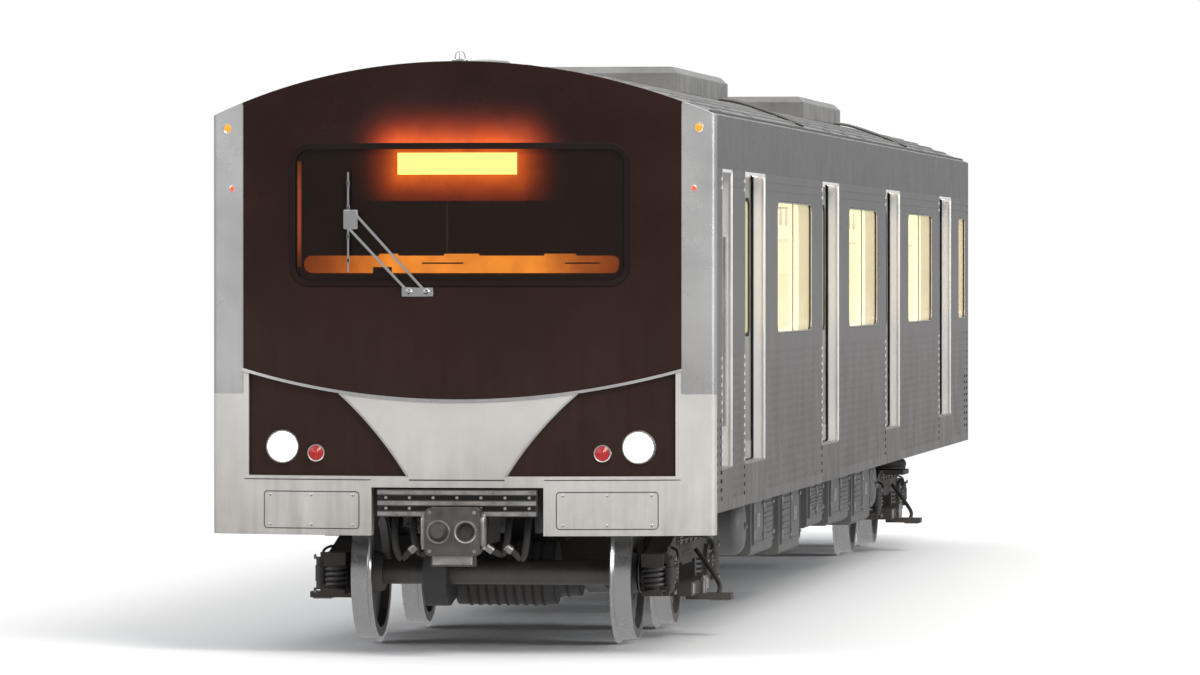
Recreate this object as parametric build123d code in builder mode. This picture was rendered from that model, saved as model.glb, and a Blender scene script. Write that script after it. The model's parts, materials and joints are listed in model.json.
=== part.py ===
"""A stainless metro driving car, in millimetres.

The front of the car faces -Y, +X is the right-hand side seen from in front of the car,
and z is 0 at the bottom of the wheel flanges.
"""

import os
from math import sqrt

from build123d import *

os.makedirs("parts", exist_ok=True)

# Whole car
LENGTH_OVER_COUPLERS = 21750
BODY_WIDTH = 3170
SOLE_Z = 892
FLOOR_Z = 1158
FLOOR_THICKNESS = 60
DOOR_TOP_Z = 3048
CANT_Z = 3378
CROWN_Z = 3708
WALL_THICKNESS = 150
ROOF_SHELL = 60
CEILING_Z = 3330
CEILING_THICKNESS = 20
SEAM = 0.3
MOVING_CLEARANCE = 5

# Front end
COUPLER_REACH = 250
NOSE_BULGE = 300
MASK_THICKNESS = 80
LOWER_PANEL_THICKNESS = 100
CORNER_DEPTH = 100
CORNER_RADIUS = 45
PILLAR_WIDTH = 200
PILLAR_FOOT_Z = 1638
MASK_EDGE_MIDDLE_Z = 1598
MASK_EDGE_SIDE_Z = 1788
PANEL_SEAM = 0.5
WINDSCREEN_WIDTH = 2100
WINDSCREEN_BOTTOM_Z = 2328
WINDSCREEN_TOP_Z = 3178
WINDSCREEN_CORNER = 110
WINDSCREEN_THICKNESS = 12
WINDSCREEN_SETBACK = 6
SIGN_WIDTH = 800
SIGN_BOTTOM_Z = 2985
SIGN_TOP_Z = 3260
SIGN_DEPTH = 80
SKIRT_Z = 758
SKIRT_INNER_X = 540
PANEL_CENTRE_Z = 1058
POD_SETBACK = 25
POD_MARGIN = 40
POD_FLOOR_Z = 1128
POD_INNER_X = 310
POD_SHOULDER_X = 520
POD_SHOULDER_Z = 1415
POD_CREST_INSET = 415
HEADLAMP_INSET = 225
HEADLAMP_Z = 1308
HEADLAMP_DIAMETER = 210
TAILLAMP_INSET = 445
TAILLAMP_Z = 1270
TAILLAMP_DIAMETER = 110
LAMP_DEPTH = 85
LAMP_ROUNDING = 12
MARKER_INSET = 105
MARKER_Z = 3298
MARKER_DIAMETER = 70
MARKER_PROUD = 12
ANTICLIMBER_WIDTH = 1000
ANTICLIMBER_BOTTOM_Z = 878
ANTICLIMBER_DEPTH = 110
ANTICLIMBER_TOP_Z = 1046
ANTICLIMBER_PROUD = 20
ANTICLIMBER_RIBS = 3
ANTICLIMBER_RIB = 36
ANTICLIMBER_RIB_DEPTH = 45

# Couplers
COUPLER_Z = 790
COUPLER_SHANK_DIAMETER = 130
COUPLER_HEAD_WIDTH = 340
COUPLER_HEAD_HEIGHT = 300
COUPLER_HEAD_DEPTH = 165
COUPLER_HEAD_ROUNDING = 40
COUPLER_CONE_TAPER = 20
DRAFT_BOX_WALL = 30
COUPLER_CONE_DIAMETER = 110
COUPLER_CONE_REACH = 45
DRAFT_BOX_WIDTH = 300
DRAFT_BOX_LENGTH = 500
CABLE_BOX_WIDTH = 270
CABLE_BOX_HEIGHT = 85
CABLE_BOX_SETBACK = 25
CABLE_BOX_DEPTH = 120
REAR_GAP = 350
DRAWBAR_DIAMETER = 110
DRAWBAR_EYE_DIAMETER = 150
DRAWBAR_EYE_HEIGHT = 110
DRAWBAR_BORE_DIAMETER = 60

# Sliding doors
DOORS_PER_SIDE = 4
END_DOOR_SETBACK = 2962.5
DOOR_WIDTH = 1300
LEAF_THICKNESS = 35
LEAF_RECESS = 95
LEAF_SIDE_CLEARANCE = 8
LEAF_OVERLAP = 40
LEAF_TRAVEL = 640
LEAF_MEETING_GAP = 2.5
LEAF_END_CLEARANCE = 7
LEAF_WINDOW_WIDTH = 430
LEAF_WINDOW_CORNER = 60
POCKET_DEPTH = 700
HANGER_THICKNESS = 13
HANGER_LENGTH = 500
HANGER_SLOT_HEIGHT = 52

# Windows
WINDOW_POCKET_MARGIN = 87.5
WINDOW_BOTTOM_Z = 1983
WINDOW_TOP_Z = 2878
WINDOW_CORNER = 90
WINDOW_GLASS = 10
WINDOW_SETBACK = 20
REAR_WINDOW_SETBACK = 1095
REAR_WINDOW_WIDTH = 760

# Fluting of the sides
FLUTE_PITCH = 55
FLUTE_WIDTH = 24
FLUTE_DEPTH = 6
FLUTE_BOTTOM_Z = 975
FLUTE_COUNT = 17
UPPER_FLUTE_Z = 2930
UPPER_FLUTE_COUNT = 2

# Hinged doors
CAB_DOOR_SETBACK = 925
CAB_DOOR_WIDTH = 620
REAR_DOOR_WIDTH = 650
PARTITION_DOOR_WIDTH = 640
HINGED_LEAF_THICKNESS = 45
HINGED_LEAF_RECESS = 10
HINGED_FREE_CLEARANCE = 9
LEAF_GLASS = 6
HINGED_WINDOW_BOTTOM_Z = 2378
HINGED_WINDOW_TOP_Z = 2978
HINGED_WINDOW_MARGIN = 110
HINGE_RADIUS = 12
HINGE_PIN_RADIUS = 6
HINGE_LENGTH = 100
HINGE_KNUCKLE = 40
HINGE_STRAP = 40
HINGE_STRAP_THICKNESS = 12
HINGE_HEIGHTS = (1500, 2750)
REAR_WALL_THICKNESS = 100

# Cab and saloon
BULKHEAD_SETBACK = 1405
BULKHEAD_THICKNESS = 65
DESK_WIDTH = 2000
DESK_REACH = 165
DESK_LENGTH = 440
DESK_TOP_Z = 2520
DESK_ROUNDING = 35
DESK_HOOD_DEPTH = 130
DESK_SLOPE_DEPTH = 250
DESK_SLOPE_DROP = 150
DESK_REAR_DROP = 220
DESK_LIP = 80
DESK_TOE_DEPTH = 110
DESK_TOE_DROP = 380
DESK_KNEE_WIDTH = 620
DESK_KNEE_SETBACK = 200
DESK_KNEE_DROP = 480
SEAT_PAN_Z = 1590
SEAT_FOOT_DIAMETER = 320
SEAT_FOOT_THICKNESS = 25
SEAT_ROUNDING = 30
SEAT_PEDESTAL_DIAMETER = 160
# The driver's seat from the side: distance behind its centre, height above its pan
SEAT_PROFILE = ((-240, 0), (-240, 90), (150, 80), (200, 720), (280, 720), (250, 0))
DRIVER_SEAT_SETBACK = 805
DRIVER_SEAT_WIDTH = 500
BENCH_DEPTH = 445
BENCH_Z = 1600
BENCH_BACK_Z = 2010
BENCH_MARGIN = 110
BENCH_BACK_TOP = 40
BENCH_BACK_FOOT = 70
BENCH_FRONT_RISE = 12
BENCH_LIP = 60
BENCH_TOE_DEPTH = 190
BENCH_TOE_DROP = 110
BENCH_SEAT_PITCH = 460
BENCH_DISH_RADIUS = 620
BENCH_DISH_DEPTH = 16
POLE_DIAMETER = 34
POLE_X = 930
POLE_MARGIN = 120
REAR_POLE_SETBACK = 1225
RAIL_DIAMETER = 28
RAIL_Z = 3060
LIGHT_X = 430
LIGHT_WIDTH = 130
LIGHT_THICKNESS = 18
LIGHT_LENGTH = 1900
LIGHT_PITCH = 2110
LIGHTS_PER_ROW = 8
LIGHTS_CENTRE_Y = 750

# Roof units
ROOF_UNIT_LENGTH = 3200
ROOF_UNIT_WIDTH = 1700
ROOF_UNIT_RISE = 90
ROOF_UNIT_CHAMFER = 45
ROOF_UNIT_Y = 4400
ROOF_FAN_DIAMETER = 760
ROOF_FAN_OFFSET = 900
ROOF_FAN_DEPTH = 28
ROOF_FAN_HUB_DIAMETER = 220
ROOF_VENT_LENGTH = 900
ROOF_VENT_WIDTH = 26
ROOF_VENT_PITCH = 60
ROOF_VENT_COUNT = 9

# Underframe
SIDE_SILL_WIDTH = 100
CENTRE_SILL_WIDTH = 300
CROSSBEARER_WIDTH = 120
END_CROSSBEARER_REACH = 1780
BOLSTER_WIDTH = 560
PIVOT_DIAMETER = 180
PIVOT_FOOT_Z = 540
LIFTING_PAD_SETBACK = 1770
LIFTING_PAD_LENGTH = 260
LIFTING_PAD_WIDTH = 90
LIFTING_PAD_THICKNESS = 20
EQUIPMENT_CHAMFER = 25
LID_MARGIN = 70
LID_THICKNESS = 12
RESERVOIR_DIAMETER = 400
RESERVOIR_DROP = 50
RESERVOIR_SETBACK = 2470
RESERVOIR_ROW_GAP = 1250
RESERVOIR_INNER_X = 150
RESERVOIR_OUTER_X = 1220
RESERVOIR_DOME = 80
RESERVOIR_STRAP = 60
RESERVOIR_HANGER_LENGTH = 150
RESERVOIR_STRAP_INSET = 220

# Bogies
TRUCK_OVERHANG = 3255
WHEELBASE = 2130
WHEEL_DIAMETER = 860
FLANGE_DEPTH = 28
FLANGE_THICKNESS = 30
BACK_TO_BACK = 1540
RIM_WIDTH = 135
AXLE_DIAMETER = 160
JOURNAL_DIAMETER = 130
JOURNAL_END_X = 1060
HUB_DIAMETER = 240
HUB_PROUD = 20
HUB_SLOPE = 20
TREAD_CONE = 2
FLANGE_EASE = 10
WEB_THICKNESS = 40
RIM_THICKNESS = 70
SIDE_FRAME_INNER_X = 960
SIDE_FRAME_WIDTH = 140
SIDE_FRAME_TOP_Z = 700
SIDE_FRAME_DEPTH = 200
SIDE_FRAME_DROP = 110
SIDE_FRAME_SHOULDER = 430
SPRING_SEAT_THICKNESS = 40
SPRING_WAIST = 35
AXLEBOX_DIAMETER = 300
AXLEBOX_LINK_WIDTH = 190
AXLEBOX_COVER_DEPTH = 110
AXLEBOX_CAP_DIAMETER = 220
AXLEBOX_CAP_THICKNESS = 22
FRAME_WING_REACH = 310
FRAME_WING_THICKNESS = 80
SPRING_OFFSET_Y = 230
SPRING_COLUMN_DIAMETER = 96
SPRING_PAN_Z = 350
SPRING_PAN_THICKNESS = 30
SPRING_PAN_WIDTH = 130
DAMPER_DIAMETER = 64
DAMPER_OFFSET_Y = 215
DAMPER_BRACKET = 60
BRAKE_SHOE_GAP = 8
BRAKE_SHOE_THICKNESS = 50
BRAKE_SHOE_INNER_X = 815
BRAKE_SHOE_OUTER_X = 895
BRAKE_UNIT_DEPTH = 150
BRAKE_UNIT_BOTTOM_Z = 400
BRAKE_UNIT_TOP_Z = 570
TRANSOM_LENGTH = 560
TRANSOM_BOTTOM_Z = 480
TRANSOM_TOP_Z = 660
AIR_SPRING_X = 1030
AIR_SPRING_DIAMETER = 480
MOTOR_DIAMETER = 420
MOTOR_LENGTH = 640
MOTOR_OFFSET_Y = 630
MOTOR_Z = 440
MOTOR_NOSE_WIDTH = 260
MOTOR_NOSE_STEP = 40
GEARCASE_DIAMETER = 440
GEARCASE_WIDTH = 150
GEARCASE_PINION_DIAMETER = 260
SHOE_BEAM_LENGTH = 1100
SHOE_BEAM_SIZE = 90
SHOE_BEAM_Z = 330
SHOE_REACH = 210
SHOE_WIDTH = 180
SHOE_THICKNESS = 40

# Places that follow from these sizes
HALF_WIDTH = BODY_WIDTH / 2
INNER_X = HALF_WIDTH - WALL_THICKNESS
FRONT_FACE_Y = -LENGTH_OVER_COUPLERS / 2
NOSE_Y = FRONT_FACE_Y + COUPLER_REACH
CORNER_Y = NOSE_Y + NOSE_BULGE
BODY_FRONT_Y = CORNER_Y + CORNER_DEPTH
REAR_FACE_Y = LENGTH_OVER_COUPLERS / 2
REAR_WALL_Y = REAR_FACE_Y - REAR_GAP
BODY_REAR_Y = REAR_WALL_Y - REAR_WALL_THICKNESS
NOSE_RADIUS = (HALF_WIDTH**2 + NOSE_BULGE**2) / (2 * NOSE_BULGE)
PILLAR_INNER_X = HALF_WIDTH - PILLAR_WIDTH
POD_OUTER_X = PILLAR_INNER_X - POD_MARGIN
POD_CREST_X = POD_OUTER_X - POD_CREST_INSET
HEADLAMP_X = POD_OUTER_X - HEADLAMP_INSET
TAILLAMP_X = POD_OUTER_X - TAILLAMP_INSET
MARKER_X = HALF_WIDTH - MARKER_INSET
DOOR_PITCH = (LENGTH_OVER_COUPLERS - 2 * END_DOOR_SETBACK) / (DOORS_PER_SIDE - 1)
WINDOW_WIDTH = DOOR_PITCH - DOOR_WIDTH - 2 * (POCKET_DEPTH + WINDOW_POCKET_MARGIN)
DOOR_CENTRES = [(n - (DOORS_PER_SIDE - 1) / 2) * DOOR_PITCH for n in range(DOORS_PER_SIDE)]
LEAF_OUTER_X = HALF_WIDTH - LEAF_RECESS
LEAF_INNER_X = LEAF_OUTER_X - LEAF_THICKNESS
SLOT_WIDTH = LEAF_THICKNESS + 2 * LEAF_SIDE_CLEARANCE
SLOT_X = (LEAF_OUTER_X + LEAF_INNER_X) / 2
SLOT_TOP_Z = DOOR_TOP_Z + HANGER_SLOT_HEIGHT
CAB_DOOR_REAR_Y = BODY_FRONT_Y + CAB_DOOR_SETBACK
CAB_DOOR_FRONT_Y = CAB_DOOR_REAR_Y - CAB_DOOR_WIDTH
BULKHEAD_Y = BODY_FRONT_Y + BULKHEAD_SETBACK
DESK_FRONT_Y = BODY_FRONT_Y - DESK_REACH
DESK_REAR_Y = DESK_FRONT_Y + DESK_LENGTH
DRIVER_SEAT_Y = BODY_FRONT_Y + DRIVER_SEAT_SETBACK
AXLE_Z = WHEEL_DIAMETER / 2 + FLANGE_DEPTH
BOGIE_Y = REAR_FACE_Y - TRUCK_OVERHANG
BOGIES_Y = (-BOGIE_Y, BOGIE_Y)
LIFTING_PAD_Y = BOGIE_Y - LIFTING_PAD_SETBACK
RESERVOIR_Y = BOGIE_Y - RESERVOIR_SETBACK
EQUIPMENT_PITCH = (RESERVOIR_Y - RESERVOIR_ROW_GAP) / 2
CROSSBEARERS_Y = (
    0, EQUIPMENT_PITCH, 2 * EQUIPMENT_PITCH, RESERVOIR_Y, LIFTING_PAD_Y, BOGIE_Y + END_CROSSBEARER_REACH,
)
SIDES = (("left", -1), ("right", 1))


def save(piece, name):
    """Name one finished sub-part and write its file."""
    piece.part.label = name
    export_step(piece.part, f"parts/{name}.step")


def nose_y(x, setback=0.0):
    """The y of the bowed front at x, moved back by setback."""
    return NOSE_Y + NOSE_RADIUS - sqrt(NOSE_RADIUS**2 - x**2) + setback


def body_section(y, bottom_z, inset=0.0):
    """The car's cross-section at y, from bottom_z up to the arched roof."""
    half = HALF_WIDTH - inset
    with BuildSketch(Plane.XZ.offset(-y)) as section:
        with BuildLine():
            Line((-half, bottom_z), (-half, CANT_Z - inset))
            ThreePointArc((-half, CANT_Z - inset), (0, CROWN_Z - inset), (half, CANT_Z - inset))
            Line((half, CANT_Z - inset), (half, bottom_z))
            Line((half, bottom_z), (-half, bottom_z))
        make_face()
    return section.sketch


def front_rectangle(x0, x1, z0, z1, y=0.0, corner=0.0):
    """An upright rectangle across the car at y."""
    with BuildSketch(Plane.XZ.offset(-y)) as shape:
        with Locations(((x0 + x1) / 2, (z0 + z1) / 2)):
            if corner:
                RectangleRounded(x1 - x0, z1 - z0, corner)
            else:
                Rectangle(x1 - x0, z1 - z0)
    return shape.sketch


def side_rectangle(y0, y1, z0, z1, x=0.0, corner=0.0):
    """An upright rectangle along the car at x."""
    with BuildSketch(Plane.YZ.offset(x)) as shape:
        with Locations(((y0 + y1) / 2, (z0 + z1) / 2)):
            if corner:
                RectangleRounded(y1 - y0, z1 - z0, corner)
            else:
                Rectangle(y1 - y0, z1 - z0)
    return shape.sketch


def block(x0, x1, y0, y1, z0, z1, mode=Mode.ADD):
    """A plain block between two corners, in the sub-part being made."""
    with Locations(((x0 + x1) / 2, (y0 + y1) / 2, (z0 + z1) / 2)):
        Box(x1 - x0, y1 - y0, z1 - z0, mode=mode)


def behind_nose(setback, z0=0.0, z1=CROWN_Z + NOSE_BULGE):
    """All that lies behind the bowed front moved back by setback."""
    with BuildPart() as space:
        with BuildSketch(Plane.XY.offset(z0)):
            with BuildLine():
                ThreePointArc(
                    (-HALF_WIDTH, CORNER_Y + setback), (0, NOSE_Y + setback), (HALF_WIDTH, CORNER_Y + setback)
                )
                Line((HALF_WIDTH, CORNER_Y + setback), (HALF_WIDTH, REAR_FACE_Y))
                Line((HALF_WIDTH, REAR_FACE_Y), (-HALF_WIDTH, REAR_FACE_Y))
                Line((-HALF_WIDTH, REAR_FACE_Y), (-HALF_WIDTH, CORNER_Y + setback))
            make_face()
        extrude(amount=z1 - z0)
    return space.part


def span(hinge, a0, a1, f0, f1):
    """The x and y limits of a block at a hinge line: a runs along the leaf, f out of its face."""
    (x, y), along, facing = hinge
    xs = sorted(x + a * along[0] + f * facing[0] for a, f in ((a0, f0), (a1, f1)))
    ys = sorted(y + a * along[1] + f * facing[1] for a, f in ((a0, f0), (a1, f1)))
    return *xs, *ys


def hinge_knuckle(hinge, z0, z1, radius, mode=Mode.ADD):
    """One upright cylinder on a hinge line."""
    (x, y), _, _ = hinge
    with Locations((x, y, z0)):
        Cylinder(radius, z1 - z0, align=(Align.CENTER, Align.CENTER, Align.MIN), mode=mode)


def fixed_hinges(hinge):
    """Pins with a strap on the wall above and below each leaf knuckle."""
    for z in HINGE_HEIGHTS:
        ends = ((-HINGE_LENGTH / 2, -HINGE_KNUCKLE / 2), (HINGE_KNUCKLE / 2, HINGE_LENGTH / 2))
        for z0, z1 in [(z + low, z + high) for low, high in ends]:
            hinge_knuckle(hinge, z0, z1, HINGE_RADIUS)
            block(*span(hinge, -HINGE_STRAP, 0, -HINGE_RADIUS, 0), z0, z1)
        hinge_knuckle(hinge, z - HINGE_LENGTH / 2, z + HINGE_LENGTH / 2, HINGE_PIN_RADIUS)


def hinged_leaf(hinge, width):
    """A leaf with its cut window, its pane and its knuckles round the pins."""
    face = -(HINGE_RADIUS + HINGED_LEAF_RECESS)
    back = face - HINGED_LEAF_THICKNESS
    z0, z1 = FLOOR_Z + LEAF_END_CLEARANCE, DOOR_TOP_Z - LEAF_END_CLEARANCE
    free_edge = width - HINGED_FREE_CLEARANCE
    window = (HINGED_WINDOW_MARGIN, width - HINGED_WINDOW_MARGIN)
    middle = (face + back) / 2
    with BuildPart() as leaf:
        block(*span(hinge, MOVING_CLEARANCE, free_edge, back, face), z0, z1)
        block(
            *span(hinge, *window, back - 1, face + 1), HINGED_WINDOW_BOTTOM_Z, HINGED_WINDOW_TOP_Z,
            mode=Mode.SUBTRACT,
        )
        for z in HINGE_HEIGHTS:
            k0, k1 = z - HINGE_KNUCKLE / 2 + SEAM, z + HINGE_KNUCKLE / 2 - SEAM
            hinge_knuckle(hinge, k0, k1, HINGE_RADIUS)
            block(*span(hinge, 0, HINGE_STRAP, face, 0), k0, k1)
            hinge_knuckle(hinge, k0, k1, HINGE_PIN_RADIUS + SEAM, mode=Mode.SUBTRACT)
        pane = (window[0] + SEAM, window[1] - SEAM, middle - LEAF_GLASS / 2, middle + LEAF_GLASS / 2)
        block(
            *span(hinge, *pane),
            HINGED_WINDOW_BOTTOM_Z + SEAM, HINGED_WINDOW_TOP_Z - SEAM,
        )
    return leaf


def nose_band(half_width, z0, z1, front, back):
    """A plate that follows the bowed front between two setbacks."""
    with BuildPart() as band:
        block(-half_width, half_width, NOSE_Y - NOSE_BULGE, BODY_FRONT_Y, z0, z1)
        add(behind_nose(front), mode=Mode.INTERSECT)
        add(behind_nose(back), mode=Mode.SUBTRACT)
    return band.part


# Hinge lines: the point, the way the leaf lies from it, the way its face looks
REAR_HINGE = ((REAR_DOOR_WIDTH / 2, BODY_REAR_Y - HINGE_RADIUS), (-1, 0), (0, -1))
PARTITION_HINGE = ((PARTITION_DOOR_WIDTH / 2, BULKHEAD_Y + HINGE_RADIUS), (-1, 0), (0, 1))
CAB_HINGES = {
    side: ((side * (INNER_X - HINGE_RADIUS), CAB_DOOR_REAR_Y), (0, -1), (-side, 0)) for side in (-1, 1)
}

# Underframe: side sills, centre sill, crossbearers, bolsters with pivots, door sills
with BuildPart() as underframe:
    frame_top = FLOOR_Z - FLOOR_THICKNESS
    sill_inner_x = INNER_X - SIDE_SILL_WIDTH
    frame_x = INNER_X - SEAM
    for side in (-1, 1):
        sill_x = sorted((side * sill_inner_x, side * frame_x))
        block(*sill_x, BODY_FRONT_Y, BODY_REAR_Y, SOLE_Z, frame_top)
    block(-CENTRE_SILL_WIDTH / 2, CENTRE_SILL_WIDTH / 2, BODY_FRONT_Y, BODY_REAR_Y, SOLE_Z, frame_top)
    for distance in CROSSBEARERS_Y:
        for y in {-distance, distance}:
            block(-frame_x, frame_x, y - CROSSBEARER_WIDTH / 2, y + CROSSBEARER_WIDTH / 2, SOLE_Z, frame_top)
    for y in (BODY_FRONT_Y + SIDE_SILL_WIDTH / 2, BODY_REAR_Y - SIDE_SILL_WIDTH / 2):
        block(-frame_x, frame_x, y - SIDE_SILL_WIDTH / 2, y + SIDE_SILL_WIDTH / 2, SOLE_Z, frame_top)
    for y in BOGIES_Y:
        block(-frame_x, frame_x, y - BOLSTER_WIDTH / 2, y + BOLSTER_WIDTH / 2, SOLE_Z, frame_top)
        with Locations((0, y, PIVOT_FOOT_Z)):
            Cylinder(PIVOT_DIAMETER / 2, SOLE_Z - PIVOT_FOOT_Z, align=(Align.CENTER, Align.CENTER, Align.MIN))
    pad_x = INNER_X - SIDE_SILL_WIDTH / 2
    with Locations(*[(side * pad_x, way * LIFTING_PAD_Y, SOLE_Z) for side in (-1, 1) for way in (-1, 1)]):
        Box(
            LIFTING_PAD_WIDTH, LIFTING_PAD_LENGTH, LIFTING_PAD_THICKNESS,
            align=(Align.CENTER, Align.CENTER, Align.MAX),
        )
    door_gaps = [(y - DOOR_WIDTH / 2, y + DOOR_WIDTH / 2) for y in DOOR_CENTRES]
    door_gaps.append((CAB_DOOR_FRONT_Y, CAB_DOOR_REAR_Y))
    for side in (-1, 1):
        for y0, y1 in door_gaps:
            step_x = sorted((side * frame_x, side * HALF_WIDTH))
            block(*step_x, y0 + SEAM, y1 - SEAM, SOLE_Z, FLOOR_Z)
    nose_beam_y = nose_y(CENTRE_SILL_WIDTH / 2, ANTICLIMBER_DEPTH + PANEL_SEAM)
    block(-CENTRE_SILL_WIDTH / 2, CENTRE_SILL_WIDTH / 2, nose_beam_y, BODY_FRONT_Y, SOLE_Z, frame_top)
save(underframe, "underframe")

with BuildPart() as floor:
    block(-INNER_X + SEAM, INNER_X - SEAM, NOSE_Y, BODY_REAR_Y - SEAM, frame_top, FLOOR_Z)
    add(behind_nose(LOWER_PANEL_THICKNESS + PANEL_SEAM), mode=Mode.INTERSECT)
save(floor, "floor")


def side_panel_section(side, y):
    """The cross-section of one side wall at y, with the flutes of its outer face."""
    x0, x1 = sorted((side * INNER_X, side * HALF_WIDTH))
    flutes = [FLUTE_BOTTOM_Z + n * FLUTE_PITCH for n in range(FLUTE_COUNT)]
    flutes += [UPPER_FLUTE_Z + n * FLUTE_PITCH for n in range(UPPER_FLUTE_COUNT)]
    with BuildSketch(Plane.XZ.offset(-y)) as section:
        with Locations(((x0 + x1) / 2, (SOLE_Z + DOOR_TOP_Z) / 2)):
            Rectangle(x1 - x0, DOOR_TOP_Z - SOLE_Z)
        with Locations(*[(side * HALF_WIDTH, z) for z in flutes]):
            Rectangle(2 * FLUTE_DEPTH, FLUTE_WIDTH, mode=Mode.SUBTRACT)
    return section.sketch


# Bays between the doorways: front y, rear y, pocket at the front, pocket at the rear
JAMBS = [(y - DOOR_WIDTH / 2, y + DOOR_WIDTH / 2) for y in DOOR_CENTRES]
BAYS = [(BODY_FRONT_Y, CAB_DOOR_FRONT_Y, False, False), (CAB_DOOR_REAR_Y, JAMBS[0][0], False, True)]
BAYS += [(JAMBS[n][1], JAMBS[n + 1][0], True, True) for n in range(DOORS_PER_SIDE - 1)]
BAYS += [(JAMBS[-1][1], BODY_REAR_Y, True, False)]
# Side windows: centre y, width
WINDOWS = [((JAMBS[n][1] + JAMBS[n + 1][0]) / 2, WINDOW_WIDTH) for n in range(DOORS_PER_SIDE - 1)]
WINDOWS += [(REAR_FACE_Y - REAR_WINDOW_SETBACK, REAR_WINDOW_WIDTH)]

for side_name, side in SIDES:
    with BuildPart() as side_panels:
        for y0, y1, _, _ in BAYS:
            extrude(side_panel_section(side, y1), amount=y1 - y0)
        slot_x0, slot_x1 = sorted((side * SLOT_X - SLOT_WIDTH / 2, side * SLOT_X + SLOT_WIDTH / 2))
        for y0, y1, front_pocket, rear_pocket in BAYS:
            if front_pocket:
                block(slot_x0, slot_x1, y0, y0 + POCKET_DEPTH, FLOOR_Z, DOOR_TOP_Z, mode=Mode.SUBTRACT)
            if rear_pocket:
                block(slot_x0, slot_x1, y1 - POCKET_DEPTH, y1, FLOOR_Z, DOOR_TOP_Z, mode=Mode.SUBTRACT)
        for centre, width in WINDOWS:
            opening = side_rectangle(
                centre - width / 2, centre + width / 2, WINDOW_BOTTOM_Z, WINDOW_TOP_Z, corner=WINDOW_CORNER
            )
            extrude(opening, amount=side * BODY_WIDTH, mode=Mode.SUBTRACT)
        fixed_hinges(CAB_HINGES[side])
    save(side_panels, f"side_panels_{side_name}")

with BuildPart() as side_glass:
    for _, side in SIDES:
        for centre, width in WINDOWS:
            pane_x = side * (HALF_WIDTH - WINDOW_SETBACK)
            pane = side_rectangle(
                centre - width / 2 + SEAM, centre + width / 2 - SEAM,
                WINDOW_BOTTOM_Z + SEAM, WINDOW_TOP_Z - SEAM, pane_x, WINDOW_CORNER,
            )
            extrude(pane, amount=-side * WINDOW_GLASS)
save(side_glass, "side_glass")

# Roof shell with its cantrails, and the slot that the door hangers run in
with BuildPart() as roof:
    extrude(body_section(BODY_REAR_Y, DOOR_TOP_Z), amount=BODY_REAR_Y - NOSE_Y)
    saloon_top = front_rectangle(-INNER_X, INNER_X, SOLE_Z, CEILING_Z + CEILING_THICKNESS, BODY_REAR_Y)
    extrude(saloon_top, amount=BODY_REAR_Y - NOSE_Y, mode=Mode.SUBTRACT)
    with BuildSketch(Plane.XZ.offset(-BODY_REAR_Y)) as void:
        add(body_section(BODY_REAR_Y, SOLE_Z, ROOF_SHELL))
        with Locations((0, CEILING_Z + CEILING_THICKNESS)):
            Rectangle(BODY_WIDTH, BODY_WIDTH, align=(Align.CENTER, Align.MIN), mode=Mode.INTERSECT)
    extrude(amount=BODY_REAR_Y - NOSE_Y, mode=Mode.SUBTRACT)
    for side in (-1, 1):
        slot_x0, slot_x1 = sorted((side * SLOT_X - SLOT_WIDTH / 2, side * SLOT_X + SLOT_WIDTH / 2))
        block(
            slot_x0, slot_x1, JAMBS[0][0] - POCKET_DEPTH, JAMBS[-1][1] + POCKET_DEPTH,
            DOOR_TOP_Z, SLOT_TOP_Z, mode=Mode.SUBTRACT,
        )
    add(behind_nose(MASK_THICKNESS + PANEL_SEAM), mode=Mode.INTERSECT)
    for side in (-1, 1):
        pillar_x = sorted((side * (PILLAR_INNER_X - PANEL_SEAM), side * HALF_WIDTH))
        block(*pillar_x, NOSE_Y, BODY_FRONT_Y + SEAM, SOLE_Z, CROWN_Z, mode=Mode.SUBTRACT)
save(roof, "roof")

with BuildPart() as ceiling:
    block(
        -INNER_X + SEAM, INNER_X - SEAM, NOSE_Y, BODY_REAR_Y - SEAM, CEILING_Z, CEILING_Z + CEILING_THICKNESS
    )
    add(behind_nose(MASK_THICKNESS + 2 * PANEL_SEAM), mode=Mode.INTERSECT)
    for side in (-1, 1):
        pillar_x = sorted((side * (PILLAR_INNER_X - PANEL_SEAM), side * HALF_WIDTH))
        block(*pillar_x, NOSE_Y, BODY_FRONT_Y + SEAM, SOLE_Z, CROWN_Z, mode=Mode.SUBTRACT)
save(ceiling, "ceiling")

# Rear end wall, with the opening and hinges of its door
with BuildPart() as rear_end_wall:
    extrude(body_section(REAR_WALL_Y, SOLE_Z), amount=REAR_WALL_THICKNESS)
    block(
        -REAR_DOOR_WIDTH / 2, REAR_DOOR_WIDTH / 2, BODY_REAR_Y - 1, REAR_WALL_Y + 1,
        FLOOR_Z, DOOR_TOP_Z, mode=Mode.SUBTRACT,
    )
    fixed_hinges(REAR_HINGE)
save(rear_end_wall, "rear_end_wall")

with BuildPart() as cab_bulkhead:
    block(
        -INNER_X + SEAM, INNER_X - SEAM, BULKHEAD_Y - BULKHEAD_THICKNESS, BULKHEAD_Y,
        FLOOR_Z, CEILING_Z - SEAM,
    )
    block(
        -PARTITION_DOOR_WIDTH / 2, PARTITION_DOOR_WIDTH / 2,
        BULKHEAD_Y - BULKHEAD_THICKNESS - 1, BULKHEAD_Y + 1,
        FLOOR_Z, DOOR_TOP_Z, mode=Mode.SUBTRACT,
    )
    fixed_hinges(PARTITION_HINGE)
save(cab_bulkhead, "cab_bulkhead")

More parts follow.
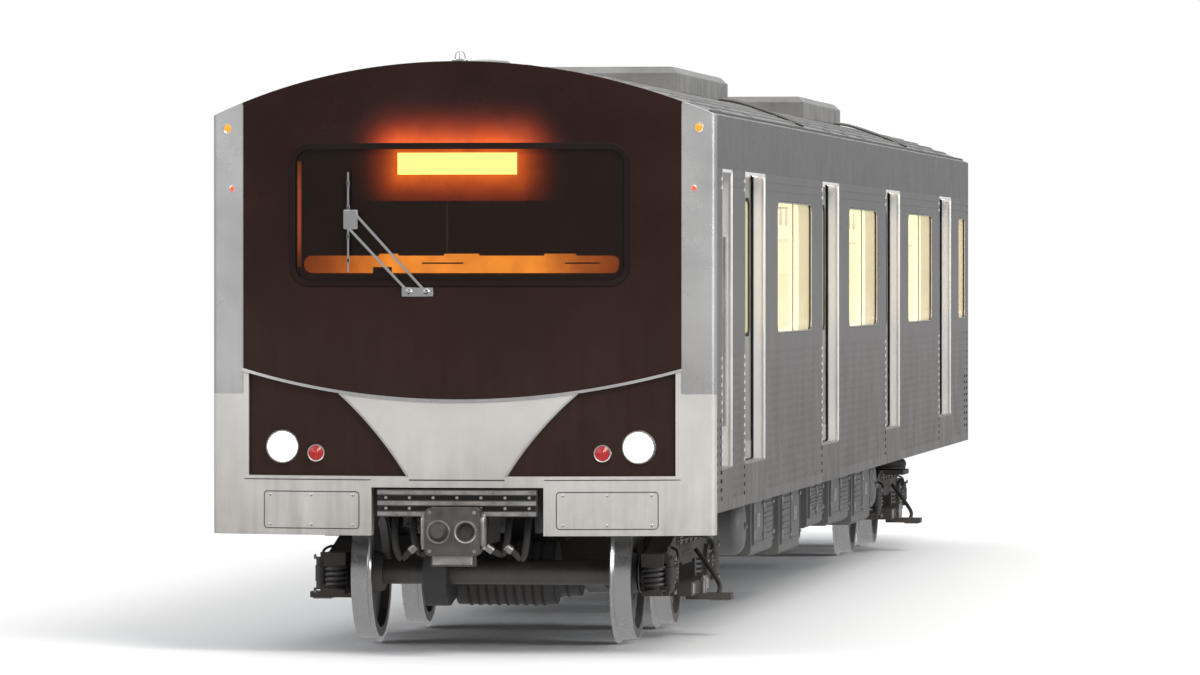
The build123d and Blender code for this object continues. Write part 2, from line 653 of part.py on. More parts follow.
# Hinged doors
rear_door = hinged_leaf(REAR_HINGE, REAR_DOOR_WIDTH)
save(rear_door, "rear_door")
partition_door = hinged_leaf(PARTITION_HINGE, PARTITION_DOOR_WIDTH)
save(partition_door, "partition_door")
for side_name, side in SIDES:
    cab_door = hinged_leaf(CAB_HINGES[side], CAB_DOOR_WIDTH)
    save(cab_door, f"cab_door_{side_name}")

# Sliding leaves: doorway by doorway, the front one slides forwards and the rear one rearwards
for side_name, side in SIDES:
    for number, centre in enumerate(DOOR_CENTRES, start=1):
        for end_name, way in (("front", -1), ("rear", 1)):
            meeting_y = centre + way * LEAF_MEETING_GAP
            tail_y = centre + way * (DOOR_WIDTH / 2 + LEAF_OVERLAP)
            leaf_x = sorted((side * LEAF_INNER_X, side * LEAF_OUTER_X))
            leaf_y = sorted((meeting_y, tail_y))
            window_y = centre + way * DOOR_WIDTH / 4
            hanger_y = centre + way * DOOR_WIDTH / 4
            with BuildPart() as door_leaf:
                block(*leaf_x, *leaf_y, FLOOR_Z + LEAF_END_CLEARANCE, DOOR_TOP_Z - LEAF_END_CLEARANCE)
                opening = side_rectangle(
                    window_y - LEAF_WINDOW_WIDTH / 2, window_y + LEAF_WINDOW_WIDTH / 2,
                    WINDOW_BOTTOM_Z, WINDOW_TOP_Z, corner=LEAF_WINDOW_CORNER,
                )
                extrude(opening, amount=side * BODY_WIDTH, mode=Mode.SUBTRACT)
                block(
                    side * SLOT_X - HANGER_THICKNESS / 2, side * SLOT_X + HANGER_THICKNESS / 2,
                    hanger_y - HANGER_LENGTH / 2, hanger_y + HANGER_LENGTH / 2,
                    DOOR_TOP_Z - LEAF_END_CLEARANCE, SLOT_TOP_Z - SEAM,
                )
                pane = side_rectangle(
                    window_y - LEAF_WINDOW_WIDTH / 2 + SEAM, window_y + LEAF_WINDOW_WIDTH / 2 - SEAM,
                    WINDOW_BOTTOM_Z + SEAM, WINDOW_TOP_Z - SEAM,
                    side * (SLOT_X + LEAF_GLASS / 2), LEAF_WINDOW_CORNER,
                )
                extrude(pane, amount=-side * LEAF_GLASS)
            save(door_leaf, f"door_{side_name}_{number}_{end_name}")


def front_outline():
    """The lower front panel's outline: skirts, centre cut and the curved edge under the mask."""
    side_z = MASK_EDGE_SIDE_Z - PANEL_SEAM
    middle_z = MASK_EDGE_MIDDLE_Z - PANEL_SEAM
    foot_z = PILLAR_FOOT_Z - PANEL_SEAM
    with BuildSketch(Plane.XZ.offset(-BODY_FRONT_Y)) as shape:
        with BuildLine():
            Polyline(
                (-PILLAR_INNER_X, side_z), (-PILLAR_INNER_X, foot_z), (-HALF_WIDTH, foot_z),
                (-HALF_WIDTH, SKIRT_Z), (-SKIRT_INNER_X, SKIRT_Z), (-SKIRT_INNER_X, PANEL_CENTRE_Z),
                (SKIRT_INNER_X, PANEL_CENTRE_Z), (SKIRT_INNER_X, SKIRT_Z), (HALF_WIDTH, SKIRT_Z),
                (HALF_WIDTH, foot_z), (PILLAR_INNER_X, foot_z), (PILLAR_INNER_X, side_z),
            )
            ThreePointArc((PILLAR_INNER_X, side_z), (0, middle_z), (-PILLAR_INNER_X, side_z))
        make_face()
    return shape.sketch


def pod_outline(side, inset=0.0):
    """The swept outline of one headlamp pod, which runs up to the edge of the mask."""
    with BuildSketch(Plane.XZ.offset(-BODY_FRONT_Y)) as shape:
        with BuildLine():
            ThreePointArc(
                (side * POD_INNER_X, POD_FLOOR_Z), (side * POD_SHOULDER_X, POD_SHOULDER_Z),
                (side * POD_CREST_X, MASK_EDGE_SIDE_Z),
            )
            Polyline(
                (side * POD_CREST_X, MASK_EDGE_SIDE_Z), (side * POD_OUTER_X, MASK_EDGE_SIDE_Z),
                (side * POD_OUTER_X, POD_FLOOR_Z), (side * POD_INNER_X, POD_FLOOR_Z),
            )
        make_face()
        add(front_outline(), mode=Mode.INTERSECT)
        if inset:
            offset(amount=-inset, kind=Kind.INTERSECTION)
    return shape.sketch


FRONT_DEPTH = BODY_FRONT_Y - NOSE_Y

with BuildPart() as front_mask:
    with BuildSketch(Plane.XZ.offset(-BODY_FRONT_Y)):
        with BuildLine():
            mask_x = PILLAR_INNER_X - PANEL_SEAM
            ThreePointArc((-mask_x, MASK_EDGE_SIDE_Z), (0, MASK_EDGE_MIDDLE_Z), (mask_x, MASK_EDGE_SIDE_Z))
            Polyline(
                (mask_x, MASK_EDGE_SIDE_Z), (mask_x, CROWN_Z), (-mask_x, CROWN_Z), (-mask_x, MASK_EDGE_SIDE_Z)
            )
        make_face()
    extrude(amount=FRONT_DEPTH)
    extrude(body_section(BODY_FRONT_Y, SOLE_Z), amount=FRONT_DEPTH, mode=Mode.INTERSECT)
    add(behind_nose(0), mode=Mode.INTERSECT)
    add(behind_nose(MASK_THICKNESS), mode=Mode.SUBTRACT)
    screen_hole = front_rectangle(
        -WINDSCREEN_WIDTH / 2, WINDSCREEN_WIDTH / 2, WINDSCREEN_BOTTOM_Z, WINDSCREEN_TOP_Z,
        BODY_FRONT_Y, WINDSCREEN_CORNER,
    )
    extrude(screen_hole, amount=FRONT_DEPTH, mode=Mode.SUBTRACT)
save(front_mask, "front_mask")

with BuildPart() as windscreen:
    screen_shape = front_rectangle(
        -WINDSCREEN_WIDTH / 2 + PANEL_SEAM, WINDSCREEN_WIDTH / 2 - PANEL_SEAM,
        WINDSCREEN_BOTTOM_Z + PANEL_SEAM, WINDSCREEN_TOP_Z - PANEL_SEAM, BODY_FRONT_Y, WINDSCREEN_CORNER,
    )
    extrude(screen_shape, amount=FRONT_DEPTH)
    add(behind_nose(WINDSCREEN_SETBACK), mode=Mode.INTERSECT)
    add(behind_nose(WINDSCREEN_SETBACK + WINDSCREEN_THICKNESS), mode=Mode.SUBTRACT)
save(windscreen, "windscreen")

with BuildPart() as corner_pillars:
    for side in (-1, 1):
        pillar_x = sorted((side * PILLAR_INNER_X, side * HALF_WIDTH))
        block(*pillar_x, NOSE_Y, BODY_FRONT_Y, PILLAR_FOOT_Z, CROWN_Z)
    extrude(body_section(BODY_FRONT_Y, SOLE_Z), amount=FRONT_DEPTH, mode=Mode.INTERSECT)
    add(behind_nose(0), mode=Mode.INTERSECT)
    corner_edges = corner_pillars.edges().filter_by(Axis.Z).filter_by(
        lambda edge: abs(abs(edge.center().X) - HALF_WIDTH) < 1 and abs(edge.center().Y - CORNER_Y) < 1
    )
    fillet(corner_edges, CORNER_RADIUS)
save(corner_pillars, "corner_pillars")

with BuildPart() as lower_front_panel:
    extrude(front_outline(), amount=FRONT_DEPTH)
    for side in (-1, 1):
        extrude(pod_outline(side), amount=FRONT_DEPTH, mode=Mode.SUBTRACT)
    add(behind_nose(0), mode=Mode.INTERSECT)
    add(behind_nose(LOWER_PANEL_THICKNESS), mode=Mode.SUBTRACT)
    corner_edges = lower_front_panel.edges().filter_by(Axis.Z).filter_by(
        lambda edge: abs(abs(edge.center().X) - HALF_WIDTH) < 1 and abs(edge.center().Y - CORNER_Y) < 1
    )
    fillet(corner_edges, CORNER_RADIUS)
save(lower_front_panel, "lower_front_panel")

# Lamps of the front: x, z, diameter
FRONT_LAMPS = {
    "headlamps": (HEADLAMP_X, HEADLAMP_Z, HEADLAMP_DIAMETER),
    "tail_lamps": (TAILLAMP_X, TAILLAMP_Z, TAILLAMP_DIAMETER),
}

with BuildPart() as headlamp_pods:
    for side in (-1, 1):
        extrude(pod_outline(side, PANEL_SEAM), amount=FRONT_DEPTH)
    add(behind_nose(POD_SETBACK), mode=Mode.INTERSECT)
    add(behind_nose(LOWER_PANEL_THICKNESS), mode=Mode.SUBTRACT)
    for x, z, diameter in FRONT_LAMPS.values():
        with BuildSketch(Plane.XZ.offset(-BODY_FRONT_Y)):
            with Locations((-x, z), (x, z)):
                Circle(diameter / 2 + SEAM)
        extrude(amount=FRONT_DEPTH, mode=Mode.SUBTRACT)
save(headlamp_pods, "headlamp_pods")

for name, (x, z, diameter) in FRONT_LAMPS.items():
    with BuildPart() as lamps:
        with BuildSketch(Plane.XZ.offset(-nose_y(x, POD_SETBACK / 2 + LAMP_DEPTH))):
            with Locations((-x, z), (x, z)):
                Circle(diameter / 2)
        extrude(amount=LAMP_DEPTH)
        front_edges = lamps.edges().filter_by(GeomType.CIRCLE).group_by(Axis.Y)[0]
        fillet(front_edges, LAMP_ROUNDING)
    save(lamps, name)

with BuildPart() as marker_lamps:
    with BuildSketch(Plane.XZ.offset(-CORNER_Y)):
        with Locations((-MARKER_X, MARKER_Z), (MARKER_X, MARKER_Z)):
            Circle(MARKER_DIAMETER / 2)
    extrude(amount=CORNER_Y - nose_y(MARKER_X) + MARKER_PROUD)
    add(behind_nose(-SEAM), mode=Mode.SUBTRACT)
save(marker_lamps, "marker_lamps")

with BuildPart() as destination_sign:
    sign_y = nose_y(SIGN_WIDTH / 2, MASK_THICKNESS + PANEL_SEAM)
    block(-SIGN_WIDTH / 2, SIGN_WIDTH / 2, sign_y, sign_y + SIGN_DEPTH, SIGN_BOTTOM_Z, SIGN_TOP_Z)
save(destination_sign, "destination_sign")

with BuildPart() as anticlimber:
    add(nose_band(
        ANTICLIMBER_WIDTH / 2, ANTICLIMBER_BOTTOM_Z, ANTICLIMBER_TOP_Z,
        ANTICLIMBER_RIB_DEPTH - ANTICLIMBER_PROUD, ANTICLIMBER_DEPTH,
    ))
    rib_pitch = (ANTICLIMBER_TOP_Z - ANTICLIMBER_BOTTOM_Z - ANTICLIMBER_RIB) / (ANTICLIMBER_RIBS - 1)
    for n in range(ANTICLIMBER_RIBS):
        rib_z = ANTICLIMBER_BOTTOM_Z + n * rib_pitch
        add(nose_band(
            ANTICLIMBER_WIDTH / 2, rib_z, rib_z + ANTICLIMBER_RIB, -ANTICLIMBER_PROUD, ANTICLIMBER_DEPTH
        ))
save(anticlimber, "anticlimber")

# Couplers: a draft box under each end of the centre sill, with its shank and head or eye
with BuildPart() as front_coupler:
    head_y = FRONT_FACE_Y + COUPLER_CONE_REACH
    block(
        -DRAFT_BOX_WIDTH / 2, DRAFT_BOX_WIDTH / 2, BODY_FRONT_Y, BODY_FRONT_Y + DRAFT_BOX_LENGTH,
        COUPLER_Z - COUPLER_SHANK_DIAMETER / 2 - DRAFT_BOX_WALL, SOLE_Z - SEAM,
    )
    with BuildSketch(Plane.XZ.offset(-BODY_FRONT_Y)):
        with Locations((0, COUPLER_Z)):
            Circle(COUPLER_SHANK_DIAMETER / 2)
    extrude(amount=BODY_FRONT_Y - head_y - COUPLER_HEAD_DEPTH / 2)
    with BuildSketch(Plane.XZ.offset(-(head_y + COUPLER_HEAD_DEPTH))):
        with Locations((0, COUPLER_Z)):
            RectangleRounded(COUPLER_HEAD_WIDTH, COUPLER_HEAD_HEIGHT, COUPLER_HEAD_ROUNDING)
    extrude(amount=COUPLER_HEAD_DEPTH)
    box_top_z = COUPLER_Z - COUPLER_HEAD_HEIGHT / 2 + COUPLER_HEAD_ROUNDING / 2
    block(
        -CABLE_BOX_WIDTH / 2, CABLE_BOX_WIDTH / 2, head_y + CABLE_BOX_SETBACK,
        head_y + CABLE_BOX_SETBACK + CABLE_BOX_DEPTH, box_top_z - CABLE_BOX_HEIGHT, box_top_z,
    )
    with BuildSketch(Plane.XZ.offset(-head_y)):
        with Locations((-COUPLER_HEAD_WIDTH / 4, COUPLER_Z)):
            Circle(COUPLER_CONE_DIAMETER / 2)
    extrude(amount=COUPLER_CONE_REACH, taper=COUPLER_CONE_TAPER)
    with BuildSketch(Plane.XZ.offset(-head_y)):
        with Locations((COUPLER_HEAD_WIDTH / 4, COUPLER_Z)):
            Circle(COUPLER_CONE_DIAMETER / 2 + SEAM)
    extrude(amount=-COUPLER_CONE_REACH, taper=COUPLER_CONE_TAPER, mode=Mode.SUBTRACT)
save(front_coupler, "front_coupler")

with BuildPart() as rear_drawbar:
    eye_y = REAR_FACE_Y - DRAWBAR_EYE_DIAMETER / 2
    block(
        -DRAFT_BOX_WIDTH / 2, DRAFT_BOX_WIDTH / 2, REAR_WALL_Y - DRAFT_BOX_LENGTH, REAR_WALL_Y,
        COUPLER_Z - COUPLER_SHANK_DIAMETER / 2 - DRAFT_BOX_WALL, SOLE_Z - SEAM,
    )
    with BuildSketch(Plane.XZ.offset(-eye_y)):
        with Locations((0, COUPLER_Z)):
            Circle(DRAWBAR_DIAMETER / 2)
    extrude(amount=eye_y - REAR_WALL_Y)
    with Locations((0, eye_y, COUPLER_Z)):
        Cylinder(DRAWBAR_EYE_DIAMETER / 2, DRAWBAR_EYE_HEIGHT)
        Cylinder(DRAWBAR_BORE_DIAMETER / 2, DRAWBAR_DIAMETER, mode=Mode.SUBTRACT)
save(rear_drawbar, "rear_drawbar")

# Driver's desk: a console whose hood stands up behind the windscreen
with BuildPart() as drivers_desk:
    with BuildSketch(Plane.YZ.offset(-DESK_WIDTH / 2)):
        with BuildLine():
            Polyline(
                (DESK_FRONT_Y, FLOOR_Z + SEAM), (DESK_FRONT_Y, DESK_TOP_Z),
                (DESK_FRONT_Y + DESK_HOOD_DEPTH, DESK_TOP_Z),
                (DESK_FRONT_Y + DESK_SLOPE_DEPTH, DESK_TOP_Z - DESK_SLOPE_DROP),
                (DESK_REAR_Y, DESK_TOP_Z - DESK_REAR_DROP),
                (DESK_REAR_Y, DESK_TOP_Z - DESK_REAR_DROP - DESK_LIP),
                (DESK_REAR_Y - DESK_TOE_DEPTH, DESK_TOP_Z - DESK_TOE_DROP),
                (DESK_REAR_Y - DESK_TOE_DEPTH, FLOOR_Z + SEAM), (DESK_FRONT_Y, FLOOR_Z + SEAM),
            )
        make_face()
    extrude(amount=DESK_WIDTH)
    hood_edges = drivers_desk.edges().filter_by(Axis.X).group_by(Axis.Z)[-1]
    fillet(hood_edges, DESK_ROUNDING)
    block(
        -DESK_KNEE_WIDTH / 2, DESK_KNEE_WIDTH / 2, DESK_FRONT_Y + DESK_KNEE_SETBACK, DESK_REAR_Y + 1,
        FLOOR_Z, DESK_TOP_Z - DESK_KNEE_DROP, mode=Mode.SUBTRACT,
    )
save(drivers_desk, "drivers_desk")

with BuildPart() as drivers_seat:
    with Locations((0, DRIVER_SEAT_Y, FLOOR_Z + SEAM)):
        for diameter, height in (
            (SEAT_PEDESTAL_DIAMETER, SEAT_PAN_Z - FLOOR_Z), (SEAT_FOOT_DIAMETER, SEAT_FOOT_THICKNESS)
        ):
            Cylinder(diameter / 2, height, align=(Align.CENTER, Align.CENTER, Align.MIN))
    with BuildSketch(Plane.YZ.offset(-DRIVER_SEAT_WIDTH / 2)):
        with BuildLine():
            Polyline(*[(DRIVER_SEAT_Y + y, SEAT_PAN_Z + z) for y, z in SEAT_PROFILE], close=True)
        make_face()
    extrude(amount=DRIVER_SEAT_WIDTH)
    fillet(drivers_seat.edges().filter_by(Axis.X).group_by(Axis.Z)[-1], SEAT_ROUNDING)
save(drivers_seat, "drivers_seat")

# Benches along both side walls between the doorways, as one bay's front y and rear y
BENCHES = [(y0 + BENCH_MARGIN, y1 - BENCH_MARGIN) for y0, y1, _, _ in BAYS[2:]]

with BuildPart() as saloon_seats:
    for side in (-1, 1):
        for y0, y1 in BENCHES:
            wall_x = INNER_X - SEAM
            front_x = wall_x - BENCH_DEPTH
            toe_x = front_x + BENCH_TOE_DEPTH
            with BuildSketch(Plane.XZ.offset(-y1)):
                with BuildLine():
                    Polyline(
                        (side * wall_x, FLOOR_Z + SEAM), (side * wall_x, BENCH_BACK_Z),
                        (side * (wall_x - BENCH_BACK_TOP), BENCH_BACK_Z),
                        (side * (wall_x - BENCH_BACK_FOOT), BENCH_Z),
                        (side * front_x, BENCH_Z + BENCH_FRONT_RISE), (side * front_x, BENCH_Z - BENCH_LIP),
                        (side * toe_x, BENCH_Z - BENCH_TOE_DROP), (side * toe_x, FLOOR_Z + SEAM),
                        (side * wall_x, FLOOR_Z + SEAM),
                    )
                make_face()
            extrude(amount=y1 - y0)
            seats = max(1, int((y1 - y0) / BENCH_SEAT_PITCH))
            dishes_y = [y0 + (n + 0.5) * (y1 - y0) / seats for n in range(seats)]
            with BuildSketch(Plane.YZ.offset(side * front_x)):
                with Locations(*[(y, BENCH_Z + BENCH_DISH_RADIUS - BENCH_DISH_DEPTH) for y in dishes_y]):
                    Circle(BENCH_DISH_RADIUS)
                with Locations(((y0 + y1) / 2, BENCH_Z)):
                    Rectangle(y1 - y0, 2 * BENCH_DISH_DEPTH, mode=Mode.INTERSECT)
            extrude(amount=side * (BENCH_DEPTH - BENCH_BACK_FOOT), mode=Mode.SUBTRACT)
save(saloon_seats, "saloon_seats")

# Grab poles at the bench ends, joined over each bench by a rail
with BuildPart() as grab_poles:
    for side in (-1, 1):
        for y0, y1, _, _ in BAYS[2:]:
            poles_y = [y0 + POLE_MARGIN, y1 - POLE_MARGIN]
            if y1 == BODY_REAR_Y:
                poles_y[1] = REAR_FACE_Y - REAR_POLE_SETBACK
            with Locations(*[(side * POLE_X, y, FLOOR_Z + SEAM) for y in poles_y]):
                Cylinder(
                    POLE_DIAMETER / 2, CEILING_Z - FLOOR_Z - 2 * SEAM,
                    align=(Align.CENTER, Align.CENTER, Align.MIN),
                )
            with BuildSketch(Plane.XZ.offset(-poles_y[1])):
                with Locations((side * POLE_X, RAIL_Z)):
                    Circle(RAIL_DIAMETER / 2)
            extrude(amount=poles_y[1] - poles_y[0])
save(grab_poles, "grab_poles")

with BuildPart() as ceiling_lights:
    for side in (-1, 1):
        for n in range(LIGHTS_PER_ROW):
            light_y = LIGHTS_CENTRE_Y + (n - (LIGHTS_PER_ROW - 1) / 2) * LIGHT_PITCH
            block(
                side * LIGHT_X - LIGHT_WIDTH / 2, side * LIGHT_X + LIGHT_WIDTH / 2,
                light_y - LIGHT_LENGTH / 2, light_y + LIGHT_LENGTH / 2,
                CEILING_Z - SEAM - LIGHT_THICKNESS, CEILING_Z - SEAM,
            )
save(ceiling_lights, "ceiling_lights")

with BuildPart() as roof_units:
    for y in (-ROOF_UNIT_Y, ROOF_UNIT_Y):
        block(
            -ROOF_UNIT_WIDTH / 2, ROOF_UNIT_WIDTH / 2, y - ROOF_UNIT_LENGTH / 2, y + ROOF_UNIT_LENGTH / 2,
            CANT_Z, CROWN_Z + ROOF_UNIT_RISE,
        )
    upper_edges = roof_units.edges().group_by(Axis.Z)[-1]
    chamfer(upper_edges, ROOF_UNIT_CHAMFER)
    unit_top_z = CROWN_Z + ROOF_UNIT_RISE
    fans_y = [y + way * ROOF_FAN_OFFSET for y in (-ROOF_UNIT_Y, ROOF_UNIT_Y) for way in (-1, 1)]
    with BuildSketch(Plane.XY.offset(unit_top_z)):
        with Locations(*[(0, y) for y in fans_y]):
            Circle(ROOF_FAN_DIAMETER / 2)
            Circle(ROOF_FAN_HUB_DIAMETER / 2, mode=Mode.SUBTRACT)
    extrude(amount=-ROOF_FAN_DEPTH, mode=Mode.SUBTRACT)
    with BuildSketch(Plane.XY.offset(unit_top_z)):
        for y in (-ROOF_UNIT_Y, ROOF_UNIT_Y):
            for n in range(ROOF_VENT_COUNT):
                vent_y = y + (n - (ROOF_VENT_COUNT - 1) / 2) * ROOF_VENT_PITCH
                with Locations((0, vent_y)):
                    Rectangle(ROOF_VENT_LENGTH, ROOF_VENT_WIDTH)
    extrude(amount=-ROOF_FAN_DEPTH, mode=Mode.SUBTRACT)
    extrude(body_section(BODY_REAR_Y, SOLE_Z, -SEAM), amount=LENGTH_OVER_COUPLERS, mode=Mode.SUBTRACT)
save(roof_units, "roof_units")

# Boxes hung under the crossbearers: x, rows behind the middle, width, gap to the next row, height
EQUIPMENT = (
    (-760, -2, 900, 250, 520),
    (760, -2, 900, 450, 480),
    (-780, -1, 860, 650, 430),
    (780, -1, 860, 450, 540),
    (-760, 0, 900, 350, 500),
    (760, 0, 900, 750, 420),
    (-760, 1, 900, 450, 540),
    (780, 1, 860, 250, 460),
    (-780, 2, 860, 550, 430),
    (760, 2, 900, 350, 520),
)

with BuildPart() as underfloor_equipment:
    for x, row, width, gap, height in EQUIPMENT:
        y = row * EQUIPMENT_PITCH
        length = EQUIPMENT_PITCH - gap
        block(
            x - width / 2, x + width / 2, y - length / 2, y + length / 2,
            SOLE_Z - SEAM - height, SOLE_Z - SEAM,
        )
    lower_edges = underfloor_equipment.edges().filter_by(Axis.Y).filter_by(
        lambda edge: edge.center().Z < SOLE_Z - 1
    )
    chamfer(lower_edges, EQUIPMENT_CHAMFER)
    for x, row, width, gap, height in EQUIPMENT:
        y = row * EQUIPMENT_PITCH
        length = EQUIPMENT_PITCH - gap
        side = 1 if x > 0 else -1
        lid_x = sorted((x + side * width / 2, x + side * (width / 2 + LID_THICKNESS)))
        block(
            *lid_x, y - length / 2 + LID_MARGIN, y + length / 2 - LID_MARGIN,
            SOLE_Z - height + LID_MARGIN, SOLE_Z - LID_MARGIN,
        )
    reservoir_z = SOLE_Z - RESERVOIR_DROP - RESERVOIR_DIAMETER / 2
    for side in (-1, 1):
        for y in (-RESERVOIR_Y, RESERVOIR_Y):
            with BuildPart(mode=Mode.PRIVATE) as reservoir:
                with BuildSketch(Plane.YZ.offset(side * RESERVOIR_INNER_X)):
                    with Locations((y, reservoir_z)):
                        Circle(RESERVOIR_DIAMETER / 2)
                extrude(amount=side * (RESERVOIR_OUTER_X - RESERVOIR_INNER_X))
                fillet(reservoir.edges().filter_by(GeomType.CIRCLE), RESERVOIR_DOME)
            add(reservoir.part)
            for x in (RESERVOIR_INNER_X + RESERVOIR_STRAP_INSET, RESERVOIR_OUTER_X - RESERVOIR_STRAP_INSET):
                block(
                    side * x - RESERVOIR_STRAP / 2, side * x + RESERVOIR_STRAP / 2,
                    y - RESERVOIR_HANGER_LENGTH / 2, y + RESERVOIR_HANGER_LENGTH / 2,
                    reservoir_z, SOLE_Z - SEAM,
                )
save(underfloor_equipment, "underfloor_equipment")


def side_frame_outline(y, x):
    """One bogie side frame seen from the side: a dropped beam over two axlebox arms."""
    half_base = WHEELBASE / 2
    end = half_base + AXLEBOX_LINK_WIDTH / 2
    inner = end - AXLEBOX_LINK_WIDTH
    top = SIDE_FRAME_TOP_Z
    low = SIDE_FRAME_TOP_Z - SIDE_FRAME_DEPTH
    shoulder = half_base - SIDE_FRAME_SHOULDER
    with BuildSketch(Plane.YZ.offset(x)) as shape:
        with BuildLine():
            outline = [
                (-end, AXLE_Z), (-end, top - SIDE_FRAME_DROP), (-shoulder, top), (shoulder, top),
                (end, top - SIDE_FRAME_DROP), (end, AXLE_Z), (inner, AXLE_Z),
                (inner - SIDE_FRAME_DROP, low), (SIDE_FRAME_DROP - inner, low), (-inner, AXLE_Z),
            ]
            Polyline(*[(y + along, z) for along, z in outline], close=True)
        make_face()
        with Locations((y - half_base, AXLE_Z), (y + half_base, AXLE_Z)):
            Circle(AXLEBOX_DIAMETER / 2)
    return shape.sketch


